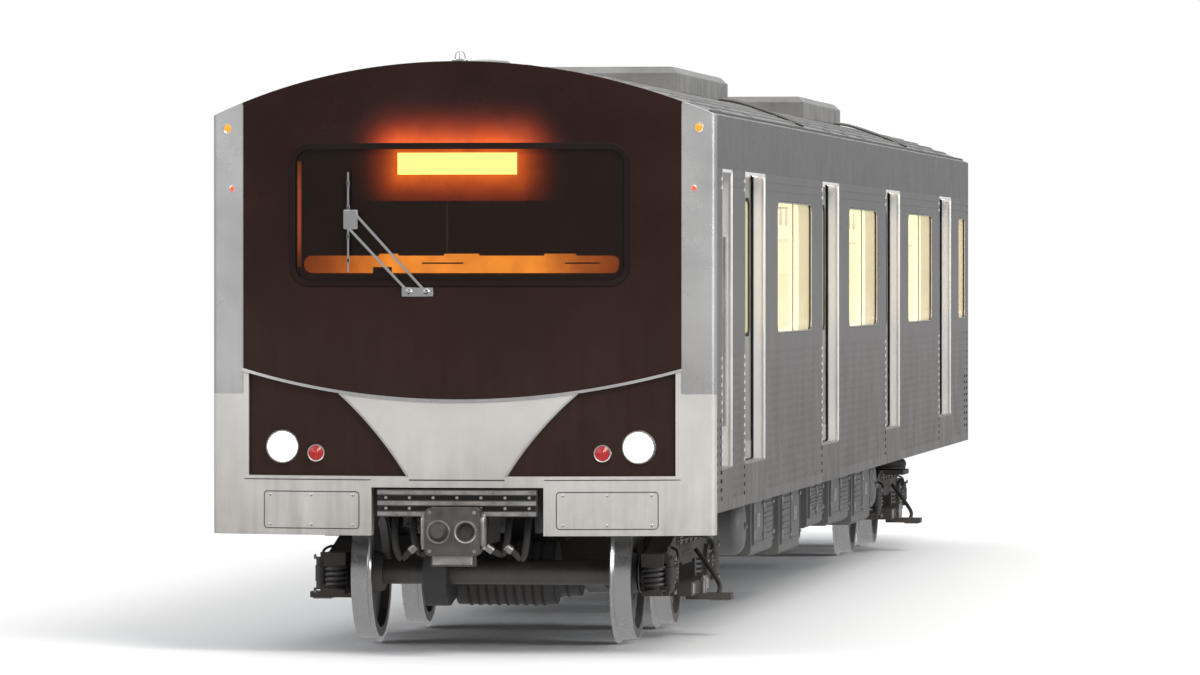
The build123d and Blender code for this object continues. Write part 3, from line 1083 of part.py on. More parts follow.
for end_name, bogie_y in zip(("front", "rear"), BOGIES_Y):
    with BuildPart() as bogie_frame:
        frame_outer_x = SIDE_FRAME_INNER_X + SIDE_FRAME_WIDTH
        for side in (-1, 1):
            extrude(
                side_frame_outline(bogie_y, side * SIDE_FRAME_INNER_X), amount=side * SIDE_FRAME_WIDTH
            )
        block(
            -frame_outer_x, frame_outer_x, bogie_y - TRANSOM_LENGTH / 2, bogie_y + TRANSOM_LENGTH / 2,
            TRANSOM_BOTTOM_Z, TRANSOM_TOP_Z,
        )
        with Locations((0, bogie_y, TRANSOM_BOTTOM_Z)):
            Cylinder(
                PIVOT_DIAMETER / 2 + SEAM, SOLE_Z - TRANSOM_BOTTOM_Z,
                align=(Align.CENTER, Align.CENTER, Align.MIN), mode=Mode.SUBTRACT,
            )
        for side in (-1, 1):
            seat_half = AIR_SPRING_DIAMETER / 2
            block(
                side * AIR_SPRING_X - seat_half, side * AIR_SPRING_X + seat_half,
                bogie_y - TRANSOM_LENGTH / 2, bogie_y + TRANSOM_LENGTH / 2,
                SIDE_FRAME_TOP_Z - SPRING_SEAT_THICKNESS, SIDE_FRAME_TOP_Z,
            )
            beam_x = sorted((side * frame_outer_x, side * (frame_outer_x + SHOE_BEAM_SIZE)))
            block(
                *beam_x, bogie_y - SHOE_BEAM_LENGTH / 2, bogie_y + SHOE_BEAM_LENGTH / 2,
                SHOE_BEAM_Z - SHOE_BEAM_SIZE / 2, SHOE_BEAM_Z + SHOE_BEAM_SIZE / 2,
            )
            hanger_x = sorted((side * SIDE_FRAME_INNER_X, side * frame_outer_x))
            for y in (bogie_y - SHOE_BEAM_LENGTH / 2, bogie_y + SHOE_BEAM_LENGTH / 2 - SHOE_BEAM_SIZE):
                block(
                    *hanger_x, y, y + SHOE_BEAM_SIZE, SHOE_BEAM_Z - SHOE_BEAM_SIZE / 2,
                    SIDE_FRAME_TOP_Z - SIDE_FRAME_DEPTH / 2,
                )
            shoe_x = sorted((side * frame_outer_x, side * (frame_outer_x + SHOE_BEAM_SIZE + SHOE_REACH)))
            block(
                *shoe_x, bogie_y - SHOE_WIDTH / 2, bogie_y + SHOE_WIDTH / 2,
                SHOE_BEAM_Z - SHOE_BEAM_SIZE / 2 - SHOE_THICKNESS, SHOE_BEAM_Z - SHOE_BEAM_SIZE / 2,
            )
        frame_end_z = SIDE_FRAME_TOP_Z - SIDE_FRAME_DROP
        for side in (-1, 1):
            frame_x = sorted((side * SIDE_FRAME_INNER_X, side * frame_outer_x))
            middle_x = side * (SIDE_FRAME_INNER_X + SIDE_FRAME_WIDTH / 2)
            pan_x = (middle_x - SPRING_PAN_WIDTH / 2, middle_x + SPRING_PAN_WIDTH / 2)
            for way in (-1, 1):
                axle_y = bogie_y + way * WHEELBASE / 2
                wing_y = sorted((axle_y, axle_y + way * FRAME_WING_REACH))
                block(*frame_x, *wing_y, frame_end_z - FRAME_WING_THICKNESS, frame_end_z)
                block(
                    *pan_x, axle_y - FRAME_WING_REACH, axle_y + FRAME_WING_REACH,
                    SPRING_PAN_Z - SPRING_PAN_THICKNESS, SPRING_PAN_Z,
                )
                with Locations((middle_x, axle_y - SPRING_OFFSET_Y), (middle_x, axle_y + SPRING_OFFSET_Y)):
                    with Locations((0, 0, SPRING_PAN_Z)):
                        Cylinder(
                            SPRING_COLUMN_DIAMETER / 2, frame_end_z - SPRING_PAN_Z,
                            align=(Align.CENTER, Align.CENTER, Align.MIN),
                        )
                with BuildSketch(Plane.YZ.offset(side * frame_outer_x)):
                    with Locations((axle_y, AXLE_Z)):
                        Circle(AXLEBOX_CAP_DIAMETER / 2)
                extrude(amount=side * AXLEBOX_CAP_THICKNESS)
                damper_x = side * (frame_outer_x + DAMPER_DIAMETER / 2 + SEAM)
                damper_y = axle_y + way * DAMPER_OFFSET_Y
                with Locations((damper_x, damper_y, SPRING_PAN_Z)):
                    Cylinder(
                        DAMPER_DIAMETER / 2, frame_end_z - SPRING_PAN_Z - DAMPER_BRACKET / 2,
                        align=(Align.CENTER, Align.CENTER, Align.MIN),
                    )
                bracket_x = sorted((middle_x, damper_x))
                for z in (SPRING_PAN_Z - SPRING_PAN_THICKNESS, frame_end_z - DAMPER_BRACKET):
                    block(
                        *bracket_x, damper_y - DAMPER_BRACKET / 2, damper_y + DAMPER_BRACKET / 2,
                        z, z + DAMPER_BRACKET,
                    )
                shoe_y = axle_y - way * (WHEEL_DIAMETER / 2 + BRAKE_SHOE_GAP)
                unit_x = sorted((side * BRAKE_SHOE_INNER_X, side * BRAKE_SHOE_OUTER_X))
                arm_x = sorted((side * BRAKE_SHOE_INNER_X, side * (SIDE_FRAME_INNER_X + SEAM)))
                shoe_back_y = shoe_y - way * BRAKE_SHOE_THICKNESS
                with BuildPart(mode=Mode.PRIVATE) as brake_shoe:
                    block(
                        *unit_x, *sorted((shoe_back_y, axle_y)), BRAKE_UNIT_BOTTOM_Z, BRAKE_UNIT_TOP_Z
                    )
                    with BuildSketch(Plane.YZ.offset(unit_x[0] - 1)):
                        with Locations((axle_y, AXLE_Z)):
                            Circle(WHEEL_DIAMETER / 2 + BRAKE_SHOE_GAP)
                    extrude(amount=unit_x[1] - unit_x[0] + 2, mode=Mode.SUBTRACT)
                add(brake_shoe.part)
                unit_y = sorted((shoe_back_y, shoe_back_y - way * BRAKE_UNIT_DEPTH))
                block(*arm_x, *unit_y, BRAKE_UNIT_BOTTOM_Z, BRAKE_UNIT_TOP_Z)
        for axle_y in (bogie_y - WHEELBASE / 2, bogie_y + WHEELBASE / 2):
            with BuildSketch(Plane.YZ.offset(-SIDE_FRAME_INNER_X - AXLEBOX_COVER_DEPTH)):
                with Locations((axle_y, AXLE_Z)):
                    Circle(JOURNAL_DIAMETER / 2 + SEAM)
            extrude(amount=2 * (SIDE_FRAME_INNER_X + AXLEBOX_COVER_DEPTH), mode=Mode.SUBTRACT)
    save(bogie_frame, f"{end_name}_bogie_frame")

    with BuildPart() as air_springs:
        for side in (-1, 1):
            with BuildSketch(Plane.XZ.offset(-bogie_y)):
                with BuildLine():
                    middle_z = (SIDE_FRAME_TOP_Z + SOLE_Z) / 2
                    x0 = side * AIR_SPRING_X
                    x1 = x0 + side * (AIR_SPRING_DIAMETER / 2 - SPRING_WAIST)
                    x2 = x0 + side * AIR_SPRING_DIAMETER / 2
                    top, bottom = SOLE_Z - SEAM, SIDE_FRAME_TOP_Z + SEAM
                    Line((x0, bottom), (x1, bottom))
                    ThreePointArc((x1, bottom), (x2, (bottom + middle_z) / 2), (x1, middle_z))
                    ThreePointArc((x1, middle_z), (x2, (top + middle_z) / 2), (x1, top))
                    Line((x1, top), (x0, top))
                    Line((x0, top), (x0, bottom))
                make_face()
            revolve(axis=Axis((x0, bogie_y, 0), (0, 0, 1)))
    save(air_springs, f"{end_name}_air_springs")

    with BuildPart() as motors:
        for way in (-1, 1):
            motor_y = bogie_y + way * MOTOR_OFFSET_Y
            axle_y = bogie_y + way * WHEELBASE / 2
            with BuildSketch(Plane.YZ.offset(-MOTOR_LENGTH / 2)):
                with Locations((motor_y, MOTOR_Z)):
                    Circle(MOTOR_DIAMETER / 2)
            extrude(amount=MOTOR_LENGTH)
            face_y = bogie_y + way * (TRANSOM_LENGTH / 2 + SEAM)
            nose = sorted((face_y, motor_y))
            block(
                -MOTOR_NOSE_WIDTH / 2, MOTOR_NOSE_WIDTH / 2, *nose,
                TRANSOM_BOTTOM_Z, TRANSOM_TOP_Z - MOTOR_NOSE_STEP,
            )
            gear_x0 = MOTOR_LENGTH / 2 - 1
            with BuildSketch(Plane.YZ.offset(way * gear_x0)):
                with Locations((axle_y, AXLE_Z)):
                    Circle(GEARCASE_DIAMETER / 2)
                with Locations((motor_y, MOTOR_Z)):
                    Circle(GEARCASE_PINION_DIAMETER / 2)
                make_hull()
                with Locations((axle_y, AXLE_Z)):
                    Circle(AXLE_DIAMETER / 2 + SEAM, mode=Mode.SUBTRACT)
            extrude(amount=way * GEARCASE_WIDTH)
    save(motors, f"{end_name}_motors")

# Wheelsets: axle, hubs, dished webs and flanged rims turned in one profile
WHEEL_INNER_X = BACK_TO_BACK / 2
TREAD_RADIUS = WHEEL_DIAMETER / 2
axles_y = [y + way * WHEELBASE / 2 for y in BOGIES_Y for way in (-1, 1)]
for number, axle_y in enumerate(axles_y, start=1):
    with BuildPart() as wheelset:
        with BuildSketch(Plane.XY.offset(AXLE_Z)):
            with BuildLine():
                web_x = WHEEL_INNER_X + (RIM_WIDTH - WEB_THICKNESS) / 2
                rim_r = TREAD_RADIUS - RIM_THICKNESS
                outer_x = WHEEL_INNER_X + RIM_WIDTH
                half_profile = [
                    (0, AXLE_DIAMETER / 2), (WHEEL_INNER_X - HUB_PROUD, AXLE_DIAMETER / 2),
                    (WHEEL_INNER_X - HUB_PROUD, HUB_DIAMETER / 2), (web_x, HUB_DIAMETER / 2 + HUB_SLOPE),
                    (web_x, rim_r - HUB_SLOPE), (WHEEL_INNER_X, rim_r),
                    (WHEEL_INNER_X, TREAD_RADIUS + FLANGE_DEPTH - FLANGE_EASE),
                    (WHEEL_INNER_X + FLANGE_EASE, TREAD_RADIUS + FLANGE_DEPTH),
                    (
                        WHEEL_INNER_X + FLANGE_THICKNESS - FLANGE_EASE,
                        TREAD_RADIUS + FLANGE_DEPTH - FLANGE_EASE,
                    ),
                    (WHEEL_INNER_X + FLANGE_THICKNESS, TREAD_RADIUS + TREAD_CONE),
                    (outer_x, TREAD_RADIUS - TREAD_CONE), (outer_x, rim_r),
                    (web_x + WEB_THICKNESS, rim_r - HUB_SLOPE),
                    (web_x + WEB_THICKNESS, HUB_DIAMETER / 2 + HUB_SLOPE), (outer_x, HUB_DIAMETER / 2),
                    (outer_x, JOURNAL_DIAMETER / 2), (JOURNAL_END_X, JOURNAL_DIAMETER / 2),
                    (JOURNAL_END_X, 0),
                ]
                upper = [(x, axle_y + r) for x, r in half_profile]
                mirrored = [(-x, y) for x, y in reversed(upper)]
                Polyline(*mirrored[:-1], *upper, mirrored[0])
            make_face()
        revolve(axis=Axis((0, axle_y, AXLE_Z), (1, 0, 0)))
    save(wheelset, f"wheelset_{number}")
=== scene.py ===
"""The looks of a stainless metro driving car, in metres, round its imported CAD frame.

The cab faces -Y, +X is the right-hand side seen from in front, and z is 0 under the wheel flanges.
"""

import json
import math

import bmesh
import bpy
from mathutils import Matrix, Vector


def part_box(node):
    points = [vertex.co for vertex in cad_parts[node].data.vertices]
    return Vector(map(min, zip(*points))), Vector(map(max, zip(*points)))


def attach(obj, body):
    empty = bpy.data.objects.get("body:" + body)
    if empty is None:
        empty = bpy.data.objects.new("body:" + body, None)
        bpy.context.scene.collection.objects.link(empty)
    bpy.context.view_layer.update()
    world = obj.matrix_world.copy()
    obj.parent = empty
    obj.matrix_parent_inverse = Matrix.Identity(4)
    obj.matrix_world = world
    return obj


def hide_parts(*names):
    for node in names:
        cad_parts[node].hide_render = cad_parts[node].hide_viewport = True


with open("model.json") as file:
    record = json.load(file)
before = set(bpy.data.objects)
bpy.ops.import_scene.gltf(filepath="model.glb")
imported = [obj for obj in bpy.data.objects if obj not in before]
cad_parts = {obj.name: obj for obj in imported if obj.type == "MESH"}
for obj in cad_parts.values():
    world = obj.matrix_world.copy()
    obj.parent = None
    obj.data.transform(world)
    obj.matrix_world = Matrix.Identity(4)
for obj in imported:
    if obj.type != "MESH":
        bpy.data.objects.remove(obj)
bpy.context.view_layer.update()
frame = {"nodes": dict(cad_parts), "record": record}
nodes = frame["nodes"]

# Directions, and places on the car read from the frame
UP = Vector((0, 0, 1))
FRONT, BACK = Vector((0, -1, 0)), Vector((0, 1, 0))
RIGHT = Vector((1, 0, 0))
SIDES = (("left", -1), ("right", 1))
HALF_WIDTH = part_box("side_panels_right")[1].x
INNER_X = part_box("floor")[1].x
FLOOR_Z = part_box("floor")[1].z
SOLE_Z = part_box("side_panels_right")[0].z
CROWN_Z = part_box("roof")[1].z
UNIT_TOP_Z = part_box("roof_units")[1].z
NOSE_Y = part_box("lower_front_panel")[0].y
REAR_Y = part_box("rear_end_wall")[1].y
BULKHEAD_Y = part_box("cab_bulkhead")[1].y
CEILING_UNDER_Z = 3.33
AXLE_Z = 0.458
NOSE_BULGE = 0.3
NOSE_RADIUS = (HALF_WIDTH**2 + NOSE_BULGE**2) / (2 * NOSE_BULGE)
ROOF_RISE = CROWN_Z - 3.378
ROOF_RADIUS = (HALF_WIDTH**2 + ROOF_RISE**2) / (2 * ROOF_RISE)
DOORS_Y = (-7.9125, -2.6375, 2.6375, 7.9125)
DOOR_HALF = 0.65

# The viewpoint of the photograph: beside the next track, looking back along the car
CAMERA_PLACE = (6.665, -56.725, 2.398)
CAMERA_AZIMUTH, CAMERA_DIP = math.radians(7.13), math.radians(0.5)
CAMERA_LENS = 225.0


def nose_y(x, setback=0.0):
    """The y of the bowed front at x, moved back by setback."""
    return NOSE_Y + NOSE_RADIUS - math.sqrt(NOSE_RADIUS**2 - x**2) + setback


def roof_z(x, rise=0.0):
    """The height of the arched roof at x."""
    return CROWN_Z - ROOF_RADIUS + math.sqrt(ROOF_RADIUS**2 - x**2) + rise


# Shader steps: a value is a socket or a plain number, vector or colour


def connect(tree, value, socket):
    """A socket fed by another socket, or set to a plain value."""
    if isinstance(value, bpy.types.NodeSocket):
        tree.links.new(value, socket)
    else:
        socket.default_value = value


def add_node(tree, kind, inputs=(), **settings):
    """The outputs of a new shader node with its settings and inputs filled in."""
    node = tree.nodes.new("ShaderNode" + kind)
    for name, value in settings.items():
        setattr(node, name, value)
    for name, value in dict(inputs).items():
        connect(tree, value, node.inputs[name])
    return node.outputs


def object_place(tree):
    """Object coordinates."""
    return add_node(tree, "TexCoord")["Object"]


def object_mapping(tree, scale):
    """Object coordinates stretched by scale."""
    return add_node(tree, "Mapping", {"Vector": object_place(tree), "Scale": scale})[0]


def noise(tree, vector, scale, detail=4.0, roughness=0.55):
    """The value of a noise texture on a vector."""
    return add_node(
        tree, "TexNoise", {"Vector": vector, "Scale": scale, "Detail": detail, "Roughness": roughness},
    )[0]


def map_range(tree, value, low, high, to_low, to_high):
    """A value's range moved to another."""
    ends = {"From Min": low, "From Max": high, "To Min": to_low, "To Max": to_high}
    return add_node(tree, "MapRange", {"Value": value, **ends})[0]


def combine(tree, operation, first, second):
    """One math step on two values."""
    return add_node(tree, "Math", {0: first, 1: second}, operation=operation)[0]


def on_vectors(tree, operation, first, *second):
    """One math step on vectors; LENGTH gives a number."""
    outputs = add_node(tree, "VectorMath", enumerate((first, *second)), operation=operation)
    return outputs["Value" if operation == "LENGTH" else "Vector"]


def mix_colour(tree, factor, first, second):
    """Two colours mixed by a factor."""
    return add_node(tree, "Mix", {0: factor, 6: first, 7: second}, data_type="RGBA")[2]


def fill_shader(material, inputs):
    """The Principled shader of a material with some of its inputs filled in."""
    shader = material.node_tree.nodes["Principled BSDF"]
    for name, value in inputs.items():
        connect(material.node_tree, value, shader.inputs[name])
    return shader


# Shader groups that every finish uses

DUST = (0.11, 0.085, 0.065, 1)


def new_group(name, inputs, outputs):
    """An empty shader group, and the sockets of its two end nodes."""
    group = bpy.data.node_groups.new(name, "ShaderNodeTree")
    for label, kind, value in inputs:
        socket = group.interface.new_socket(name=label, in_out="INPUT", socket_type="NodeSocket" + kind)
        if value is not None:
            socket.default_value = value
    for label, kind in outputs:
        group.interface.new_socket(name=label, in_out="OUTPUT", socket_type="NodeSocket" + kind)
    return group, group.nodes.new("NodeGroupInput").outputs, group.nodes.new("NodeGroupOutput").inputs


def make_tone_group():
    """Uneven tone: a colour and a roughness that drift a little over the surface."""
    group, inlet, outlet = new_group(
        "uneven tone",
        [("Colour", "Color", None), ("Roughness", "Float", 0.4), ("Amount", "Float", 0.15),
         ("Scale", "Float", 2.0)],
        [("Colour", "Color"), ("Roughness", "Float")],
    )
    patches = noise(group, object_mapping(group, (1, 1, 1)), inlet["Scale"], 7.0, 0.62)
    drift = combine(group, "MULTIPLY", map_range(group, patches, 0.25, 0.75, -1.0, 1.0), inlet["Amount"])
    lit = {"Color": inlet["Colour"], "Value": combine(group, "ADD", drift, 1.0)}
    connect(group, add_node(group, "HueSaturation", lit)[0], outlet["Colour"])
    rougher = combine(group, "MULTIPLY", drift, 0.6)
    connect(group, combine(group, "ADD", inlet["Roughness"], rougher), outlet["Roughness"])
    return group


def make_grime_group():
    """Brake dust and road film that thickens towards a low height and runs in streaks."""
    group, inlet, outlet = new_group(
        "low grime",
        [("Colour", "Color", None), ("Grime", "Color", DUST), ("Low", "Float", 0.8), ("High", "Float", 1.6),
         ("Amount", "Float", 0.5)],
        [("Colour", "Color"), ("Mask", "Float")],
    )
    height = add_node(group, "SeparateXYZ", {0: object_place(group)})["Z"]
    fade = map_range(group, height, inlet["Low"], inlet["High"], 1.0, 0.0)
    streaks = noise(group, object_mapping(group, (9, 9, 0.9)), 1.6, 5.0, 0.6)
    clouds = noise(group, object_mapping(group, (1, 1, 1)), 2.4, 6.0, 0.6)
    broken = map_range(group, combine(group, "ADD", streaks, clouds), 0.7, 1.35, 0.15, 1.0)
    mask = combine(group, "MULTIPLY", combine(group, "MULTIPLY", fade, broken), inlet["Amount"])
    connect(group, mix_colour(group, mask, inlet["Colour"], inlet["Grime"]), outlet["Colour"])
    connect(group, mask, outlet["Mask"])
    return group


def make_grain_group():
    """Fine grain that can be drawn out along an axis, as on brushed metal, over broad waves."""
    group, inlet, outlet = new_group(
        "surface grain",
        [("Stretch", "Vector", (1.0, 1.0, 1.0)), ("Scale", "Float", 200.0), ("Depth", "Float", 0.2),
         ("Distance", "Float", 0.0005), ("Waves", "Float", 0.0)],
        [("Normal", "Vector"), ("Grain", "Float")],
    )
    stretched = on_vectors(group, "MULTIPLY", object_place(group), inlet["Stretch"])
    grain = noise(group, stretched, inlet["Scale"], 3.0, 0.6)
    swell = noise(group, object_mapping(group, (1.0, 0.8, 1.6)), 1.9, 2.0, 0.5)
    waves = add_node(group, "Bump", {"Distance": 0.05, "Strength": inlet["Waves"], "Height": swell})[0]
    fine = {"Strength": inlet["Depth"], "Distance": inlet["Distance"], "Height": grain, "Normal": waves}
    connect(group, add_node(group, "Bump", fine)[0], outlet["Normal"])
    connect(group, grain, outlet["Grain"])
    return group


TONE, GRIME, GRAIN = make_tone_group(), make_grime_group(), make_grain_group()


def finish(name, colour, metallic, roughness, tone=0.12, tone_scale=2.0, stretch=(1, 1, 1),
           grain_scale=200.0, depth=0.2, waves=0.0, grime=0.0, low=0.2, high=1.6, grime_colour=DUST,
           coat=0.0, emission=(1, 1, 1), glow=0.0):
    """A surface finish: uneven tone, then low grime, over a grained bump."""
    material = bpy.data.materials.new(name)
    material.use_nodes = True
    tree = material.node_tree
    uneven = add_node(tree, "Group", node_tree=TONE, inputs={
        "Colour": (*colour, 1), "Roughness": roughness, "Amount": tone, "Scale": tone_scale,
    })
    dirt = add_node(tree, "Group", node_tree=GRIME, inputs={
        "Colour": uneven["Colour"], "Low": low, "High": high, "Amount": grime, "Grime": grime_colour,
    })
    grain = add_node(tree, "Group", node_tree=GRAIN, inputs={
        "Stretch": stretch, "Scale": grain_scale, "Depth": depth, "Waves": waves,
    })
    film = combine(tree, "MULTIPLY", dirt["Mask"], 0.35)
    fill_shader(material, {
        "Base Color": dirt["Colour"], "Metallic": metallic, "Coat Weight": coat, "Normal": grain["Normal"],
        "Roughness": combine(tree, "ADD", uneven["Roughness"], film),
        "Emission Color": (*emission, 1), "Emission Strength": glow,
    })
    return material


def clear_glass(name, colour, alpha, roughness, glow=0.0):
    """Tinted window glass with a faint uneven film, and painted lamplight as its glow when glow is given.
    """
    material = finish(
        name, colour, 0.0, roughness, tone=0.04, grain_scale=6.0, depth=0.03, emission=(1.0, 0.84, 0.50),
        glow=glow,
    )
    fill_shader(material, {"Alpha": alpha, "IOR": 1.5})
    return material


ALONG_CAR = (1.0, 0.03, 1.0)
UPRIGHT = (1.0, 1.0, 0.03)

finishes = {
    "stainless": finish(
        "fluted stainless side", (0.38, 0.36, 0.34), 0.95, 0.31, tone=0.1, stretch=ALONG_CAR,
        grain_scale=260.0, depth=0.08, waves=0.05, grime=0.75, low=0.85, high=2.3,
    ),
    "bright_stainless": finish(
        "bright corner stainless", (0.74, 0.73, 0.71), 0.9, 0.26, tone=0.08, stretch=UPRIGHT,
        grain_scale=300.0, depth=0.02, grime=0.35, low=1.5, high=2.3,
    ),
    "roof_metal": finish(
        "dusty roof metal", (0.12, 0.115, 0.11), 0.5, 0.5, tone=0.25, tone_scale=1.2, grain_scale=90.0,
    ),
    "mask": finish(
        "dark front mask", (0.016, 0.0065, 0.005), 0.0, 0.14, tone=0.25, tone_scale=1.4,
        grain_scale=40.0, depth=0.03, coat=0.1, grime=0.1, low=1.4, high=2.6,
    ),
    "front_pale": finish(
        "pale satin front", (0.56, 0.54, 0.51), 0.35, 0.34, tone=0.1, stretch=(0.06, 1, 1),
        grain_scale=180.0, depth=0.06, grime=0.6, low=0.7, high=1.5,
    ),
    # the saloon window glass glows with painted lamplight
    "glass": clear_glass("saloon window glass with painted lamplight", (0.30, 0.28, 0.22), 0.32, 0.04, 0.78),
    "screen_glass": clear_glass("tinted windscreen", (0.012, 0.008, 0.006), 0.76, 0.05),
    "head_lens": finish(
        "lit headlamp lens", (0.95, 0.93, 0.88), 0.0, 0.12, tone=0.03, grain_scale=60.0,
        emission=(1.0, 0.9, 0.7), glow=14.0,
    ),
    "tail_lens": finish("red tail lens", (0.35, 0.012, 0.01), 0.0, 0.16, grain_scale=80.0, coat=0.5),
    "marker_lens": finish(
        "amber marker lens", (0.70, 0.20, 0.015), 0.0, 0.2, grain_scale=80.0,
        emission=(1.0, 0.27, 0.02), glow=0.8,
    ),
    "sign": finish("sign housing", (0.03, 0.02, 0.015), 0.0, 0.4, grain_scale=150.0),
    "frame_metal": finish(
        "black underframe paint", (0.045, 0.043, 0.042), 0.2, 0.55, tone=0.3, grain_scale=120.0,
        grime=0.7, low=0.0, high=1.3, grime_colour=(0.13, 0.10, 0.075, 1),
    ),
    "equipment_grey": finish(
        "dull equipment paint", (0.17, 0.175, 0.175), 0.2, 0.5, tone=0.2, grain_scale=120.0,
        grime=0.6, low=0.2, high=1.1, grime_colour=(0.12, 0.095, 0.07, 1),
    ),
    "coupler_iron": finish(
        "worn coupler iron", (0.10, 0.095, 0.09), 0.7, 0.5, tone=0.35, tone_scale=9.0, grain_scale=90.0,
        depth=0.5, grime=0.4, low=0.4, high=1.0,
    ),
    "bellows_rubber": finish(
        "bellows rubber", (0.02, 0.02, 0.02), 0.0, 0.7, tone=0.2, grain_scale=160.0, grime=0.4,
        low=0.4, high=1.2,
    ),
    "motor_casing": finish(
        "motor casing", (0.12, 0.12, 0.12), 0.5, 0.5, tone=0.25, grain_scale=70.0, depth=0.5,
        grime=0.6, low=0.0, high=0.9,
    ),
    # cream lining whose glow is painted lamplight from the saloon lamps
    "interior_panel": finish(
        "cream lining with painted lamplight", (0.86, 0.80, 0.62), 0.0, 0.45, tone=0.05, grain_scale=250.0,
        emission=(1.0, 0.86, 0.55), glow=0.62,
    ),
    "floor_rubber": finish(
        "speckled floor sheet", (0.20, 0.195, 0.19), 0.0, 0.6, tone=0.35, tone_scale=140.0,
        grain_scale=60.0,
    ),
    "bench_plastic": finish("moulded bench", (0.30, 0.40, 0.44), 0.0, 0.32, tone=0.06, grain_scale=300.0),
    "pole_steel": finish(
        "polished pole", (0.72, 0.71, 0.69), 1.0, 0.2, tone=0.06, stretch=UPRIGHT, grain_scale=400.0,
        depth=0.1,
    ),
    "desk_plastic": finish("desk moulding", (0.09, 0.085, 0.08), 0.0, 0.5, tone=0.1, grain_scale=350.0),
    "driver_seat_cover": finish(
        "woven seat cover", (0.05, 0.05, 0.07), 0.0, 0.85, tone=0.3, tone_scale=220.0, grain_scale=700.0,
        depth=0.8,
    ),
    "light_panel": finish(
        "opal lamp diffuser", (0.98, 0.95, 0.85), 0.0, 0.5, tone=0.03, grain_scale=150.0,
        emission=(1.0, 0.9, 0.66), glow=5.0,
    ),
}


def hush(material, level):
    """A finish that mirrors its surroundings less, and warmer."""
    fill_shader(material, {"Specular IOR Level": level, "Specular Tint": (1.0, 0.76, 0.70, 1)})


def darken_ahead(material, edge_y, colour, glow):
    """Ahead of edge_y, in the cab, the lining loses its painted glow and gets a painted dark shade."""
    tree = material.node_tree
    along = add_node(tree, "SeparateXYZ", {0: object_place(tree)})["Y"]
    behind = map_range(tree, along, edge_y - 0.003, edge_y + 0.003, 0.0, 1.0)
    lining = tree.nodes["Principled BSDF"].inputs["Base Color"].links[0].from_socket
    fill_shader(material, {
        "Base Color": mix_colour(tree, behind, (*colour, 1), lining),
        "Emission Strength": combine(tree, "MULTIPLY", behind, glow),
    })


hush(finishes["mask"], 0.34)
hush(finishes["screen_glass"], 0.36)
# painted shade on the cab lining ahead of the bulkhead, where the painted lamplight stops
darken_ahead(finishes["interior_panel"], BULKHEAD_Y - 0.03, (0.035, 0.033, 0.032), 0.62)


def turned_steel(name, axle_y, axle_z, tread_radius):
    """Wheel steel whose tread is polished bright and whose plate is dusty."""
    material = finish(
        name, (0.20, 0.185, 0.17), 0.85, 0.48, tone=0.25, tone_scale=6.0, grain_scale=80.0, depth=0.3,
        grime_colour=(0.12, 0.08, 0.055, 1), grime=0.35, low=0.0, high=1.4,
    )
    tree = material.node_tree
    place = {"Vector": object_place(tree), "Location": (0, -axle_y, -axle_z)}
    centred = add_node(tree, "Mapping", place)[0]
    reach = on_vectors(tree, "LENGTH", on_vectors(tree, "MULTIPLY", centred, (0, 1, 1)))
    tread = map_range(tree, reach, tread_radius - 0.012, tread_radius - 0.006, 0.0, 1.0)
    inputs = tree.nodes["Principled BSDF"].inputs
    dusty, rough = (inputs[name].links[0].from_socket for name in ("Base Color", "Roughness"))
    fill_shader(material, {
        "Base Color": mix_colour(tree, tread, dusty, (0.62, 0.61, 0.6, 1)),
        "Roughness": combine(tree, "ADD", rough, combine(tree, "MULTIPLY", tread, -0.28)),
    })
    return material


def dress(obj, material):
    """One finish over a whole object."""
    obj.data.materials.clear()
    obj.data.materials.append(material)


def repaint(node_name, material, chosen):
    """Another finish on the faces of a node that chosen(centre) picks."""
    mesh = nodes[node_name].data
    mesh.materials.append(material)
    for face in mesh.polygons:
        if chosen(face.center):
            face.material_index = len(mesh.materials) - 1


FLANGE_HEIGHT = 0.028
slot_of = {entry["node"]: entry["material_slot"] for entry in frame["record"]["subparts"]}
for node_name, node_object in nodes.items():
    if node_name.startswith("wheelset"):
        low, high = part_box(node_name)
        middle = (low + high) / 2
        dress(node_object, turned_steel(
            f"{node_name} steel", middle.y, middle.z, (high.z - low.z) / 2 - FLANGE_HEIGHT,
        ))
    else:
        dress(node_object, finishes[slot_of[node_name]])

# Stage, light and camera

SUNS = (
    # name, direction, strength, spread in degrees, colour
    ("key", (-0.55, 0.75, -0.85), 2.0, 25, (1.0, 0.97, 0.93)),
    ("side", (-1.0, 0.15, -0.35), 1.1, 30, (0.94, 0.97, 1.0)),
    ("fill", (0.8, 0.5, -0.5), 0.7, 40, (0.95, 0.97, 1.0)),
    ("back", (0.2, -1.0, -0.6), 0.5, 40, (1.0, 0.98, 0.95)),
)
STAGE_GREY, MIRRORED_GREY = (0.80, 0.80, 0.80, 1), (0.42, 0.42, 0.43, 1)
SKY_LOW, SKY_HIGH, WHITE = (0.20, 0.205, 0.22, 1), (0.92, 0.94, 0.97, 1), (1, 1, 1, 1)


def link_object(name, data):
    """A new object in the scene."""
    obj = bpy.data.objects.new(name, data)
    bpy.context.scene.collection.objects.link(obj)
    return obj


